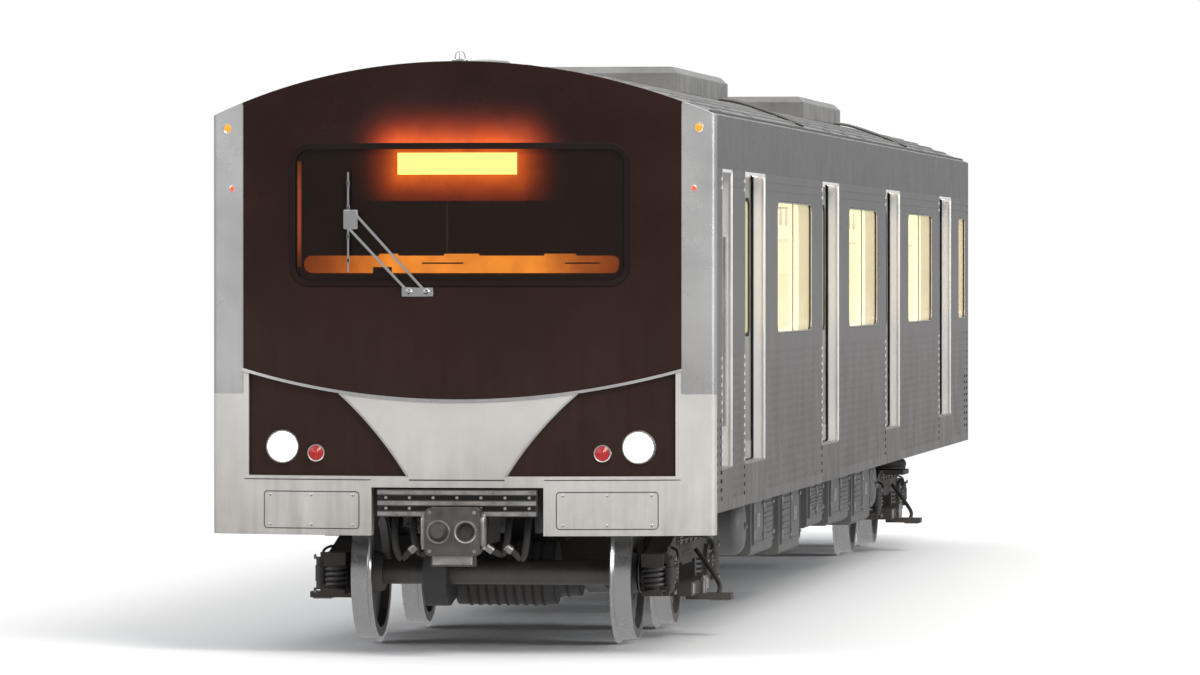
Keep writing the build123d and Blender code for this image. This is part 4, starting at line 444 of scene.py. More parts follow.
def set_floor():
    """A pale floor that fades into white, and that metal mirrors as a mid grey."""
    bm = bmesh.new()
    bmesh.ops.create_grid(bm, x_segments=2, y_segments=2, size=700.0)
    mesh = bpy.data.meshes.new("stage_floor")
    bm.to_mesh(mesh)
    bm.free()
    floor = link_object("stage_floor", mesh)
    floor.location.z = -0.002
    material = bpy.data.materials.new("pale stage")
    material.use_nodes = True
    tree = material.node_tree
    plain = fill_shader(material, {"Base Color": STAGE_GREY, "Roughness": 0.75}).outputs["BSDF"]
    far = map_range(tree, on_vectors(tree, "LENGTH", object_place(tree)), 11.0, 34.0, 0.0, 1.0)
    faded = add_node(tree, "MixShader", {"Fac": far, 1: plain, 2: add_node(tree, "Emission")[0]})[0]
    glossy = add_node(tree, "LightPath")["Is Glossy Ray"]
    mirrored = add_node(tree, "Emission", {"Color": MIRRORED_GREY})[0]
    shown = add_node(tree, "MixShader", {"Fac": glossy, 1: faded, 2: mirrored})[0]
    connect(tree, shown, tree.nodes["Material Output"].inputs["Surface"])
    dress(floor, material)


def set_lights():
    """A soft studio sky, white where the camera sees it, and four broad suns."""
    world = bpy.data.worlds.new("studio sky")
    bpy.context.scene.world = world
    world.use_nodes = True
    tree = world.node_tree
    up = add_node(tree, "SeparateXYZ", {0: add_node(tree, "TexCoord")["Generated"]})["Z"]
    sky = mix_colour(tree, map_range(tree, up, -0.05, 0.6, 0.0, 1.0), SKY_LOW, SKY_HIGH)
    seen = mix_colour(tree, add_node(tree, "LightPath")["Is Camera Ray"], sky, WHITE)
    background = tree.nodes["Background"].inputs
    connect(tree, seen, background["Color"])
    background["Strength"].default_value = 1.0
    for name, direction, strength, spread, colour in SUNS:
        light = bpy.data.lights.new(name, "SUN")
        light.energy = strength
        light.angle = math.radians(spread)
        light.color = colour
        link_object(name, light).rotation_euler = Vector(direction).to_track_quat("-Z", "Y").to_euler()


def set_camera():
    """The photograph's long-lens view along the car from its right."""
    data = bpy.data.cameras.new("camera")
    data.lens = CAMERA_LENS
    data.sensor_width = 36.0
    data.clip_end = 2500.0
    camera = link_object("camera", data)
    camera.location = CAMERA_PLACE
    looking = Vector((-math.sin(CAMERA_AZIMUTH), math.cos(CAMERA_AZIMUTH), -math.tan(CAMERA_DIP)))
    camera.rotation_euler = looking.to_track_quat("-Z", "Y").to_euler()
    bpy.context.scene.camera = camera
    bpy.context.scene.view_settings.view_transform = "Standard"


set_floor()
set_lights()
set_camera()

# Mesh helpers: each adds a shape to a bmesh

MERGE_DISTANCE = 1e-6


def new_meshes(count):
    """Empty bmeshes, one for each piece of a part."""
    return (bmesh.new() for _ in range(count))


def span(middle, half):
    """The two ends of a length about its middle."""
    return middle - half, middle + half


def mirrored(side, *points):
    """Points given for the right side of the car, on one of its sides."""
    return [(side * x, y, z) for x, y, z in points]


def add_box(bm, low, high, bevel=0.0, segments=1, turn=None):
    """A box between two corners, with rounded edges when bevel is given, then moved by turn."""
    low, high = Vector(low), Vector(high)
    before = len(bm.verts)
    vertices = bmesh.ops.create_cube(bm, size=1.0)["verts"]
    size = Matrix.Diagonal((*(high - low), 1.0))
    bmesh.ops.transform(bm, matrix=Matrix.Translation((low + high) / 2) @ size, verts=vertices)
    if bevel:
        edges = list({edge for vertex in vertices for edge in vertex.link_edges})
        bmesh.ops.bevel(
            bm, geom=edges, offset=bevel, offset_type="OFFSET", segments=segments, profile=0.5,
            affect="EDGES", material=-1,
        )
    if turn:
        bmesh.ops.transform(bm, matrix=turn, verts=list(bm.verts)[before:])


def add_side_box(bm, side, xs, ys, zs, bevel=0.0, segments=1):
    """A box on one side of the car, its x given as on the right side."""
    x0, x1 = sorted((side * xs[0], side * xs[1]))
    add_box(bm, (x0, min(ys), min(zs)), (x1, max(ys), max(zs)), bevel, segments)


def add_shape(bm, shape):
    """One finished shape added to the bmesh of a piece."""
    mesh = bpy.data.meshes.new("shape")
    shape.to_mesh(mesh)
    shape.free()
    bm.from_mesh(mesh)
    bpy.data.meshes.remove(mesh)


def turned(bm, profile, centre, axis, segments=32):
    """A profile of (radius, along) pairs spun round an axis through centre, its ends closed.

    A profile that ends where it starts is a ring and stays open in the middle.
    """
    if profile[0] != profile[-1]:
        first, last = ([(0.0, end[1])] if end[0] else [] for end in (profile[0], profile[-1]))
        profile = [*first, *profile, *last]
    shape = bmesh.new()
    line = [shape.verts.new((radius, 0, along)) for radius, along in profile]
    edges = [shape.edges.new(pair) for pair in zip(line, line[1:])]
    bmesh.ops.spin(
        shape, geom=line + edges, cent=(0, 0, 0), axis=UP, angle=2 * math.pi, steps=segments,
        use_merge=True,
    )
    bmesh.ops.remove_doubles(shape, verts=shape.verts, dist=MERGE_DISTANCE)
    turn = Matrix.Translation(centre) @ Vector(axis).to_track_quat("Z", "Y").to_matrix().to_4x4()
    bmesh.ops.transform(shape, matrix=turn, verts=shape.verts)
    add_shape(bm, shape)


def stud(bm, centre, axis, radius, height, crown, segments):
    """A round or six-sided head: straight to height, then pointed to crown."""
    turned(bm, [(radius, 0.0), (radius, height), (0.0, crown)], centre, axis, segments)


def add_rod(bm, start, end, radius, segments=12):
    """A plain round bar between two points."""
    start, end = Vector(start), Vector(end)
    turned(bm, [(radius, 0), (radius, (end - start).length)], start, end - start, segments)


def loft(bm, rings, closed=False):
    """A skin through rings of points: the first ring's edges, extruded to each of the next."""
    shape = bmesh.new()
    first = ring = [shape.verts.new(spot) for spot in rings[0]]
    first_edges = edges = [shape.edges.new(pair) for pair in zip(ring, ring[1:] + ring[:1])]
    for spots in [*rings[1:], rings[0]] if closed else rings[1:]:
        made = bmesh.ops.extrude_edge_only(shape, edges=edges)["geom"]
        fresh = {item for item in made if isinstance(item, bmesh.types.BMVert)}
        edges = [
            item for item in made if isinstance(item, bmesh.types.BMEdge) and fresh.issuperset(item.verts)
        ]
        ring = [
            next(edge.other_vert(vert) for edge in vert.link_edges if edge.other_vert(vert) in fresh)
            for vert in ring
        ]
        for vert, spot in zip(ring, spots):
            vert.co = spot
    if closed:
        bmesh.ops.weld_verts(shape, targetmap=dict(zip(ring, first)))
    else:
        for edges in (first_edges, edges):
            bmesh.ops.edgeloop_fill(shape, edges=edges)
    add_shape(bm, shape)


def on_circle(count, radius=1.0):
    """(a, b) points on a circle."""
    angles = [2 * math.pi * k / count for k in range(count)]
    return [(radius * math.cos(angle), radius * math.sin(angle)) for angle in angles]


def bar(u0, u1, v0, v1):
    """A rectangular profile for a sweep."""
    return [(u0, v0), (u1, v0), (u1, v1), (u0, v1)]


def sweep(bm, path, profile, out, closed=True):
    """A profile of (outward, sideways) offsets carried along a path."""
    rings = []
    last = len(path) - 1
    for index, point in enumerate(path):
        if closed:
            ahead, behind = path[index - last], path[index - 1]
        else:
            ahead, behind = path[min(index + 1, last)], path[max(index - 1, 0)]
        along = (ahead - behind).normalized()
        outward = (out - along * out.dot(along)).normalized()
        aside = along.cross(outward)
        rings.append([point + outward * u + aside * v for u, v in profile])
    loft(bm, rings, closed)


def trim(bm, place, points, profile, out, closed=True):
    """A profile swept along (a, b) points that place puts on the car."""
    sweep(bm, [place(a, b) for a, b in points], profile, out, closed)


def smooth_path(points, steps=6):
    """A path that runs smoothly through the given points."""
    points = [Vector(p) for p in points]
    padded = [2 * points[0] - points[1], *points, 2 * points[-1] - points[-2]]
    path = []
    for a, b, c, d in zip(padded, padded[1:], padded[2:], padded[3:]):
        for t in (step / steps for step in range(steps)):
            path.append(0.5 * (
                2 * b + (c - a) * t + (2 * a - 5 * b + 4 * c - d) * t**2 + (3 * b - a - 3 * c + d) * t**3
            ))
    return path + [points[-1]]


def hose(bm, points, radius, segments=8):
    """A round hose or cable laid smoothly through points."""
    path = smooth_path(points)
    upright = abs((path[-1] - path[0]).normalized().z) >= 0.8
    sweep(bm, path, on_circle(segments, radius), RIGHT if upright else UP, closed=False)


def rounded_loop(low, high, corner, steps=6, spacing=None):
    """Points round a rounded rectangle, its long edges divided when spacing is given."""
    (a0, b0), (a1, b1) = ((low[0] + corner, low[1] + corner), (high[0] - corner, high[1] - corner))
    loop = []
    for turn, (a, b) in enumerate(((a1, b1), (a0, b1), (a0, b0), (a1, b0))):
        for step in range(steps + 1):
            angle = math.radians(90 * (turn + step / steps))
            loop.append((a + corner * math.cos(angle), b + corner * math.sin(angle)))
    if not spacing:
        return loop
    divided = []
    for (a, b), (c, d) in zip(loop, loop[1:] + loop[:1]):
        parts = max(1, round(math.hypot(c - a, d - b) / spacing))
        divided += [(a + (c - a) * k / parts, b + (d - b) * k / parts) for k in range(parts)]
    return divided


def centred_loop(centre, half, corner, steps=6):
    """A rounded rectangle given by its centre and half sizes."""
    (a, b), (c, d) = centre, half
    return rounded_loop((a - c, b - d), (a + c, b + d), corner, steps)


def ring_plate(bm, outer, inner, near, far):
    """A plate between two loops of equal count; near and far place a loop point on each face."""
    loft(bm, [(near(*a), far(*a), far(*b), near(*b)) for a, b in zip(outer, inner)], closed=True)


def slab(bm, loop, near, far):
    """A solid plate inside one loop."""
    loft(bm, [[place(a, b) for a, b in loop] for place in (near, far)])


def on_side(x):
    """Places (along, up) points on an upright plane along the car."""
    return lambda along, up: Vector((x, along, up))


def on_nose(setback):
    """Places (across, up) points on the bowed front."""
    return lambda across, up: Vector((across, nose_y(across, setback), up))


def across_car(y):
    """Places (across, up) points on an upright plane across the car."""
    return lambda across, up: Vector((across, y, up))


def level(z):
    """Places (across, along) points on a level plane."""
    return lambda across, along: Vector((across, along, z))


def piece(name, bm, slot_name, material=None, body="carbody", stands_for=(), angle=35):
    """The bmesh finished as one piece that rides on a body."""
    bmesh.ops.recalc_face_normals(bm, faces=bm.faces)
    mesh = bpy.data.meshes.new(name)
    bm.to_mesh(mesh)
    bm.free()
    mesh.polygons.foreach_set("use_smooth", [True] * len(mesh.polygons))
    mesh.set_sharp_from_angle(angle=math.radians(angle))
    obj = link_object(name, mesh)
    dress(obj, material or finishes[slot_name])
    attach(obj, body)
    if stands_for:
        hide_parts(*stands_for)


# Front: lit and clear finishes, screen, mask trim, lamps, sign, wiper


def halo_mask(tree, centre, half, reach):
    """1 on a box of half sizes round centre, fading with the distance from it."""
    size = on_vectors(tree, "ABSOLUTE", on_vectors(tree, "SUBTRACT", object_place(tree), centre))
    past = on_vectors(tree, "MAXIMUM", on_vectors(tree, "SUBTRACT", size, half))
    near = map_range(tree, on_vectors(tree, "LENGTH", past), 0.0, reach, 1.0, 0.0)
    return combine(tree, "POWER", near, 2.2)


def glowing(name, near_colour, far_colour, strength, centre, half, reach, see_through=False):
    """A lit surface that is brightest round centre and fades from it."""
    material = finish(name, (0.02, 0.012, 0.01), 0.0, 0.35, tone=0.2, tone_scale=9.0)
    tree = material.node_tree
    mask = halo_mask(tree, centre, half, reach)
    drift = map_range(tree, noise(tree, object_mapping(tree, (1, 1, 1)), 7.0, 3.0), 0.3, 0.7, 0.8, 1.1)
    uneven = combine(tree, "MULTIPLY", mask, drift)
    fill_shader(material, {
        "Emission Color": mix_colour(tree, mask, (*far_colour, 1), (*near_colour, 1)),
        "Emission Strength": combine(tree, "MULTIPLY", uneven, strength),
    })
    if see_through:
        fill_shader(material, {"Alpha": combine(tree, "MULTIPLY", mask, 0.92)})
    return material


def lamp_dots(name, colour, strength, pitch):
    """A lit board of small round lamps, all on."""
    material = finish(name, (0.03, 0.015, 0.008), 0.0, 0.4)
    tree = material.node_tree
    cells = on_vectors(tree, "FRACTION", object_mapping(tree, (1 / pitch, 1 / pitch, 1 / pitch)))
    centred = on_vectors(tree, "SUBTRACT", cells, (0.5, 0, 0.5))
    distance = on_vectors(tree, "LENGTH", on_vectors(tree, "MULTIPLY", centred, (1, 0, 1)))
    lamp = map_range(tree, distance, 0.3, 0.5, 1.0, 0.28)
    fill_shader(material, {
        "Emission Color": (*colour, 1), "Emission Strength": combine(tree, "MULTIPLY", lamp, strength),
    })
    return material


LAMP_COVER = clear_glass("clear lamp cover", (0.9, 0.92, 0.95), 0.12, 0.02)
# the reflector bowl's glow is painted lamplight from the headlamp
LIT_BOWL = finish(
    "reflector bowl with painted lamplight", (0.85, 0.84, 0.8), 0.9, 0.15, tone=0.05, emission=(1.0, 0.86, 0.6), glow=0.9,
)
RED_GLOW = finish("lit red marker", (0.6, 0.03, 0.01), 0.0, 0.25, emission=(1.0, 0.08, 0.02), glow=1.6)
WORN_EDGE = finish(
    "rubbed steel edge", (0.42, 0.40, 0.38), 0.9, 0.36, tone=0.3, tone_scale=14.0, grain_scale=120.0,
    depth=0.4,
)
SCREEN_RUBBER = finish("dark screen rubber", (0.008, 0.005, 0.0045), 0.0, 0.6, grain_scale=160.0)
hush(SCREEN_RUBBER, 0.2)
SIGN_DOTS = lamp_dots("lit sign dots", (1.0, 0.62, 0.13), 62.0, 0.0125)
SIGN_PLACE = ((0.0, 0.0, 3.072), (0.36, 20.0, 0.07))
SIGN_HALO = glowing(
    "sign halo", (1.0, 0.16, 0.015), (0.6, 0.03, 0.004), 14.0, *SIGN_PLACE, 0.42, see_through=True,
)
MASK_HALO = glowing(
    "sign halo on the mask", (1.0, 0.15, 0.015), (0.6, 0.03, 0.004), 1.7, *SIGN_PLACE, 0.46,
    see_through=True,
)
HOOD_GLOW = glowing(
    "orange desk glow", (1.0, 0.30, 0.03), (0.8, 0.11, 0.01), 15.0, (0.0, 0.0, 2.46), (0.45, 20.0, 0.2),
    1.1,
)
EDGE_GLOW = glowing(
    "screen edge glow", (0.75, 0.14, 0.03), (0.3, 0.04, 0.01), 6.0, (-1.0, 0.0, 2.78), (0.1, 20.0, 0.2),
    0.4,
)

SCREEN = ((-1.05, 2.328), (1.05, 3.178), 0.11)
SCREEN_LIP = ((-1.068, 2.31), (1.068, 3.196), 0.128)
PILLAR_X = 1.385
EDGE_MIDDLE_Z, EDGE_SIDE_Z = 1.598, 1.788
CREST = ((0.31, 1.128), (0.52, 1.415), (0.93, 1.788))
LAMP_SETBACK = 0.0125
# x, z and radius of each lamp
HEADLAMP, TAILLAMP = (1.12, 1.308, 0.105), (0.9, 1.27, 0.055)
MARKER, LOW_MARKER = (1.48, 3.298, 0.035), (1.452, 2.92)
SEAM = bar(-0.004, 0.0012, -0.0025, 0.0025)
SEAM_Z = 1.105
DESK_HOOD_Y = -10.39
BLADE_X = -0.685
FACE = on_nose(0.0)


def unwrap(angle, near):
    """The same angle within half a turn of near."""
    return near + math.remainder(angle - near, 2 * math.pi)


def three_point_arc(first, middle, last, count):
    """Points along the circle through three (a, b) points."""
    (ax, ay), (bx, by), (cx, cy) = first, middle, last
    a2, b2, c2 = ax**2 + ay**2, bx**2 + by**2, cx**2 + cy**2
    d = 2 * (ax * (by - cy) + bx * (cy - ay) + cx * (ay - by))
    ux = (a2 * (by - cy) + b2 * (cy - ay) + c2 * (ay - by)) / d
    uy = (a2 * (cx - bx) + b2 * (ax - cx) + c2 * (bx - ax)) / d
    radius = math.hypot(ax - ux, ay - uy)
    start, through, end = (math.atan2(y - uy, x - ux) for x, y in (first, middle, last))
    end = unwrap(end, unwrap(through, start))
    angles = [start + (end - start) * k / (count - 1) for k in range(count)]
    return [(ux + radius * math.cos(a), uy + radius * math.sin(a)) for a in angles]


def mask_edge_z(x):
    """The height of the mask's curved lower edge at x."""
    rise = EDGE_SIDE_Z - EDGE_MIDDLE_Z
    radius = (PILLAR_X**2 + rise**2) / (2 * rise)
    return EDGE_MIDDLE_Z + radius - math.sqrt(radius**2 - x**2)


def between(first, last, count):
    """Points in even steps from one (a, b) point to another."""
    (a, b), (c, d) = first, last
    return [(a + (c - a) * k / count, b + (d - b) * k / count) for k in range(count + 1)]


def nose_patch(name, low, high, setback, thickness, slot_name, material):
    """A thin curved plate on the bowed front, as a piece."""
    bm = bmesh.new()
    near, far = on_nose(setback), on_nose(setback + thickness)
    across = [x for x, _ in between((low[0], 0), (high[0], 0), 24)]
    loft(bm, [(near(x, low[1]), near(x, high[1]), far(x, high[1]), far(x, low[1])) for x in across])
    piece(name, bm, slot_name, material)


def make_screen_trim():
    """The rubber round the windscreen, and the bright edges of the mask."""
    rubber, bright, band = new_meshes(3)
    trim(rubber, FACE, rounded_loop(*SCREEN, 8, 0.07), bar(-0.03, 0.007, -0.016, 0.016), FRONT)
    trim(rubber, FACE, rounded_loop(*SCREEN_LIP, 8, 0.07), on_circle(6, 0.0055), FRONT)
    edge = three_point_arc((-PILLAR_X, EDGE_SIDE_Z), (0, EDGE_MIDDLE_Z), (PILLAR_X, EDGE_SIDE_Z), 60)
    trim(bright, FACE, edge, bar(-0.004, 0.007, -0.009, 0.009), FRONT, closed=False)
    for side in (-1, 1):
        pillar_seam = between((side * PILLAR_X, 1.645), (side * PILLAR_X, 3.445), 20)
        trim(bright, FACE, pillar_seam, bar(-0.004, 0.004, -0.004, 0.004), FRONT, closed=False)
        crest = [(side * a, b) for a, b in three_point_arc(*CREST, 40) if b < mask_edge_z(a) - 0.006]
        trim(bright, on_nose(-0.001), crest, bar(-0.02, 0.005, -0.006, 0.006), FRONT, closed=False)
    inside = rounded_loop((-1.03, 2.346), (1.03, 3.16), 0.1, 8, 0.1)
    trim(band, on_nose(0.0235), inside, bar(-0.002, 0.002, -0.03, 0.03), FRONT)
    piece("windscreen_gasket", rubber, "bellows_rubber", SCREEN_RUBBER)
    piece("mask_edge_trim", bright, "bright_stainless")
    piece("windscreen_frit", band, "mask")


def make_headlamps():
    """Each headlamp: a bright bezel, a reflector bowl, a lit projector and a ring of small lamps."""
    x, z, radius = HEADLAMP
    bezel, bowl, lit, cover = new_meshes(4)
    face_y = nose_y(x, LAMP_SETBACK)
    for centre in ((-x, face_y, z), (x, face_y, z)):
        turned(bezel, [
            (radius - 0.018, 0.02), (radius - 0.018, -0.004), (radius - 0.012, -0.012),
            (radius - 0.003, -0.012), (radius, -0.006), (radius, 0.085), (radius - 0.014, 0.085),
            (radius - 0.014, 0.02), (radius - 0.018, 0.02),
        ], centre, BACK, 56)
        turned(bowl, [
            (radius - 0.018, 0.012), (radius - 0.028, 0.03), (radius - 0.05, 0.05), (0.052, 0.06),
            (0.05, 0.03), (0.046, 0.024), (0.046, 0.066), (radius - 0.048, 0.066),
            (radius - 0.022, 0.034), (radius - 0.0165, 0.013), (radius - 0.018, 0.012),
        ], centre, BACK, 56)
        turned(
            lit, [(0.045, 0.04), (0.044, 0.024), (0.036, 0.013), (0.022, 0.006), (0.0, 0.003)], centre,
            BACK, 40,
        )
        for a, b in on_circle(14, 0.069):
            spot = Vector(centre) + Vector((a, 0.036, b))
            turned(lit, [(0.0085, 0.012), (0.0085, 0.002), (0.005, -0.003), (0.0, -0.0045)], spot, BACK, 12)
        lens = [(radius - 0.0185, 0.004), (0.06, -0.002), (0.03, -0.0045), (0.0, -0.005)]
        turned(cover, lens, centre, BACK, 56)
    piece("headlamp_bezels", bezel, "bright_stainless")
    piece("headlamp_bowls", bowl, "pole_steel", LIT_BOWL)
    piece("headlamps_lit", lit, "head_lens", stands_for=["headlamps"])
    piece("headlamp_covers", cover, "glass", LAMP_COVER)


def make_small_lamps():
    """Tail lamps, amber markers and the small red markers below them."""
    bezel, lens, amber, red = new_meshes(4)
    for side in (-1, 1):
        x, z, radius = TAILLAMP
        centre = (side * x, nose_y(x, LAMP_SETBACK), z)
        turned(bezel, [
            (radius - 0.008, 0.03), (radius - 0.008, -0.006), (radius - 0.002, -0.008),
            (radius, -0.003), (radius, 0.08), (radius - 0.02, 0.08),
        ], centre, BACK, 40)
        rings = [(radius - 0.0085, 0.01)]
        for k in range(5):
            edge = (radius - 0.0085) * (1 - k / 5)
            rings += [(edge, -0.004 - 0.0012 * k), (edge - 0.0045, -0.0062 - 0.0012 * k)]
        turned(lens, [*rings, (0.0, -0.012)], centre, BACK, 40)
        x, z, radius = MARKER
        centre = (side * x, nose_y(x) + 0.004, z)
        turned(bezel, [
            (radius, 0.02), (radius, -0.002), (radius - 0.003, -0.006), (radius - 0.007, -0.004),
            (radius - 0.007, 0.02),
        ], centre, BACK, 32)
        dome = [
            (radius - 0.0075, 0.01), (radius - 0.0075, -0.003), (0.02, -0.0085), (0.01, -0.0105),
            (0.0, -0.011),
        ]
        turned(amber, dome, centre, BACK, 32)
        x, z = LOW_MARKER
        centre = (side * x, nose_y(x) + 0.004, z)
        turned(bezel, [(0.022, 0.01), (0.022, -0.004), (0.017, -0.006), (0.017, 0.01)], centre, BACK, 24)
        turned(red, [(0.0165, 0.008), (0.0165, -0.004), (0.009, -0.008), (0.0, -0.009)], centre, BACK, 24)
    piece("lamp_bezels", bezel, "bright_stainless")
    piece("tail_lamp_lenses", lens, "tail_lens", stands_for=["tail_lamps"])
    piece("amber_markers", amber, "marker_lens", stands_for=["marker_lamps"])
    piece("red_markers", red, "tail_lens", RED_GLOW)


def make_sign():
    """The destination sign: a housing, a lit bar of small dots and the glow on the panel round it."""
    face_y = nose_y(0.4, 0.082)
    housing = bmesh.new()
    add_box(housing, (-0.395, face_y, 2.99), (0.395, face_y + 0.075, 3.255), 0.006)
    for z in (2.999, 3.146):
        add_box(housing, (-0.39, face_y - 0.004, z - 0.004), (0.39, face_y, z + 0.004))
    piece("sign_housing", housing, "sign", stands_for=["destination_sign"])
    nose_patch("sign_lit_bar", (-0.375, 3.005), (0.375, 3.14), 0.0186, 0.001, "marker_lens", SIGN_DOTS)
    nose_patch("sign_glow", (-0.85, 2.84), (0.85, 3.168), 0.021, 0.001, "screen_glass", SIGN_HALO)
    nose_patch("mask_glow", (-0.85, 3.2), (0.85, 3.56), -0.0008, 0.0006, "mask", MASK_HALO)


def make_desk_glow():
    """The orange light on the hood of the desk and on the left edge of the screen."""
    lit, dark, edge = new_meshes(3)
    strip = rounded_loop((-0.995, 2.392), (0.995, 2.50), 0.05, 8)
    slab(lit, strip, across_car(DESK_HOOD_Y - 0.007), across_car(DESK_HOOD_Y - 0.0005))
    for x, half in ((-0.46, 0.06), (0.0, 0.11), (0.62, 0.1)):
        add_box(lit, (x - half, DESK_HOOD_Y - 0.01, 2.485), (x + half, DESK_HOOD_Y - 0.001, 2.512), 0.003)
    for x, half in ((-0.12, 0.13), (0.76, 0.11)):
        add_box(dark, (x - half, DESK_HOOD_Y - 0.0095, 2.449), (x + half, DESK_HOOD_Y - 0.0065, 2.458))
    add_box(dark, (-0.56, DESK_HOOD_Y - 0.012, 2.386), (-0.44, DESK_HOOD_Y - 0.002, 2.43), 0.004)
    strip = between((-1.012, 2.43), (-1.012, 3.09), 10)
    trim(edge, on_nose(0.026), strip, bar(-0.002, 0.002, -0.012, 0.012), FRONT, closed=False)
    piece("desk_hood_glow", lit, "marker_lens", HOOD_GLOW)
    piece("desk_hood_slots", dark, "desk_plastic")
    piece("screen_edge_glow", edge, "marker_lens", EDGE_GLOW)


def make_wiper():
    """A wiper of two parallel arms, parked up on the left of the screen."""
    metal, rubber = new_meshes(2)
    place = on_nose(-0.022)
    for (px, pz), (tx, tz) in (((-0.30, 2.275), (-0.70, 2.69)), ((-0.19, 2.275), (-0.64, 2.76))):
        hub = [(0.022, 0.0), (0.022, 0.012), (0.014, 0.018), (0.009, 0.032), (0.0, 0.033)]
        turned(metal, hub, FACE(px, pz), FRONT, 20)
        points = [on_nose(-0.012)(px, pz), place((px * 3 + tx) / 4, (pz * 3 + tz) / 4), place(tx, tz)]
        sweep(metal, smooth_path(points, 5), bar(-0.003, 0.004, -0.008, 0.008), FRONT, closed=False)
    y = nose_y(-0.25)
    add_box(metal, (-0.345, y - 0.006, 2.245), (-0.145, y + 0.004, 2.305), 0.004)
    blade = between((BLADE_X, 2.40), (BLADE_X, 3.02), 14)
    trim(metal, place, blade, bar(-0.002, 0.006, -0.006, 0.006), FRONT, closed=False)
    trim(rubber, on_nose(-0.009), blade, bar(-0.009, 0.011, -0.003, 0.003), FRONT, closed=False)
    y = place(BLADE_X, 0).y
    for z in (2.47, 2.62, 2.80, 2.95):
        add_box(
            metal, (BLADE_X - 0.01, y - 0.006, z - 0.012), (BLADE_X + 0.01, y + 0.012, z + 0.012), 0.002,
        )
    add_box(metal, (BLADE_X - 0.03, y - 0.01, 2.665), (BLADE_X + 0.06, y + 0.004, 2.785), 0.004)
    piece("wiper_arms", metal, "pole_steel")
    piece("wiper_blade", rubber, "bellows_rubber")


def make_crown_fitting():
    """The small fitting on the crown of the mask."""
    bm = bmesh.new()
    profile = [(0.05, -0.01), (0.05, 0.012), (0.036, 0.018), (0.03, 0.05), (0.018, 0.066), (0.0, 0.07)]
    turned(bm, profile, (0.0, -10.46, CROWN_Z), UP, 32)
    piece("crown_fitting", bm, "pole_steel")


def make_front_seams():
    """Seams, bolts and the service hatch of the pale lower panel, and the anti-climber's wear edges."""
    dark, bolts, bright = new_meshes(3)
    for side in (-1, 1):
        hatch = [(side * a, b) for a, b in rounded_loop((0.62, 0.80), (1.24, 1.03), 0.02, 3, 0.06)]
        trim(dark, on_nose(-0.0005), hatch, SEAM, FRONT)
        for a in (0.66, 0.93, 1.20):
            for b in (0.822, 1.008):
                head = [(0.009, -0.001), (0.009, 0.002), (0.006, 0.0035), (0.0, 0.004)]
                turned(bolts, head, FACE(side * a, b), FRONT, 12)
        seam = between((side * 0.545, SEAM_Z), (side * 1.375, SEAM_Z), 12)
        trim(dark, on_nose(-0.0008), seam, SEAM, FRONT, closed=False)
    middle = between((-0.30, SEAM_Z), (0.30, SEAM_Z), 14)
    trim(dark, on_nose(-0.0008), middle, bar(-0.004, 0.0012, -0.0035, 0.0035), FRONT, closed=False)
    for z in (0.896, 0.962, 1.028):
        edge = between((-0.498, z), (0.498, z), 16)
        trim(bright, on_nose(-0.0205), edge, bar(-0.003, 0.0, -0.012, 0.012), FRONT, closed=False)
    for x, _ in between((-0.45, 0), (0.45, 0), 6):
        for z in (0.929, 0.995):
            stud(bolts, on_nose(0.0255)(x, z), FRONT, 0.011, 0.007, 0.008, 6)
    piece("front_seams", dark, "bellows_rubber")
    piece("front_bolts", bolts, "pole_steel")
    piece("anticlimber_wear", bright, "coupler_iron", WORN_EDGE)


make_screen_trim()
make_headlamps()
make_small_lamps()
make_sign()
make_desk_glow()
make_wiper()
make_crown_fitting()
make_front_seams()

# Sides: sliding leaves, doorway frames, window trims, cab doors

LEAF_Z = (1.165, 3.041)
WINDOW_Z = (1.983, 2.878)
# Middle and width of each side window
WINDOWS = ((-5.275, 2.4), (0.0, 2.4), (5.275, 2.4), (9.78, 0.76))
CAB_DOOR_Y = (-9.92, -9.30)
LEAF_SKIN_X, LEAF_INNER_X = 1.488, 1.455
LEAF_STEEL = finish(
    "brushed leaf steel", (0.50, 0.485, 0.46), 0.9, 0.3, tone=0.08, stretch=UPRIGHT, grain_scale=260.0,
    depth=0.06, waves=0.03, grime=0.55, low=1.1, high=2.2,
)
# doorway steel lightened near white: a painted glint standing in for the jambs' reflections
DOORWAY_GLINT_STEEL = finish(
    "doorway steel with painted glint", (0.88, 0.87, 0.85), 0.5, 0.36, tone=0.05, stretch=UPRIGHT, grain_scale=260.0,
    depth=0.05, grime=0.3, low=1.1, high=1.7,
)
PALE_LAMP = finish("small white lamp", (0.9, 0.9, 0.85), 0.0, 0.2, emission=(1.0, 0.93, 0.8), glow=2.0)
CAB_GLASS = clear_glass("dark cab door glass", (0.03, 0.03, 0.03), 0.4, 0.05)
PANES = {
    "cab_door_left": CAB_GLASS,
    "cab_door_right": CAB_GLASS,
    "partition_door": clear_glass("smoked partition glass", (0.02, 0.018, 0.016), 0.9, 0.06),
}


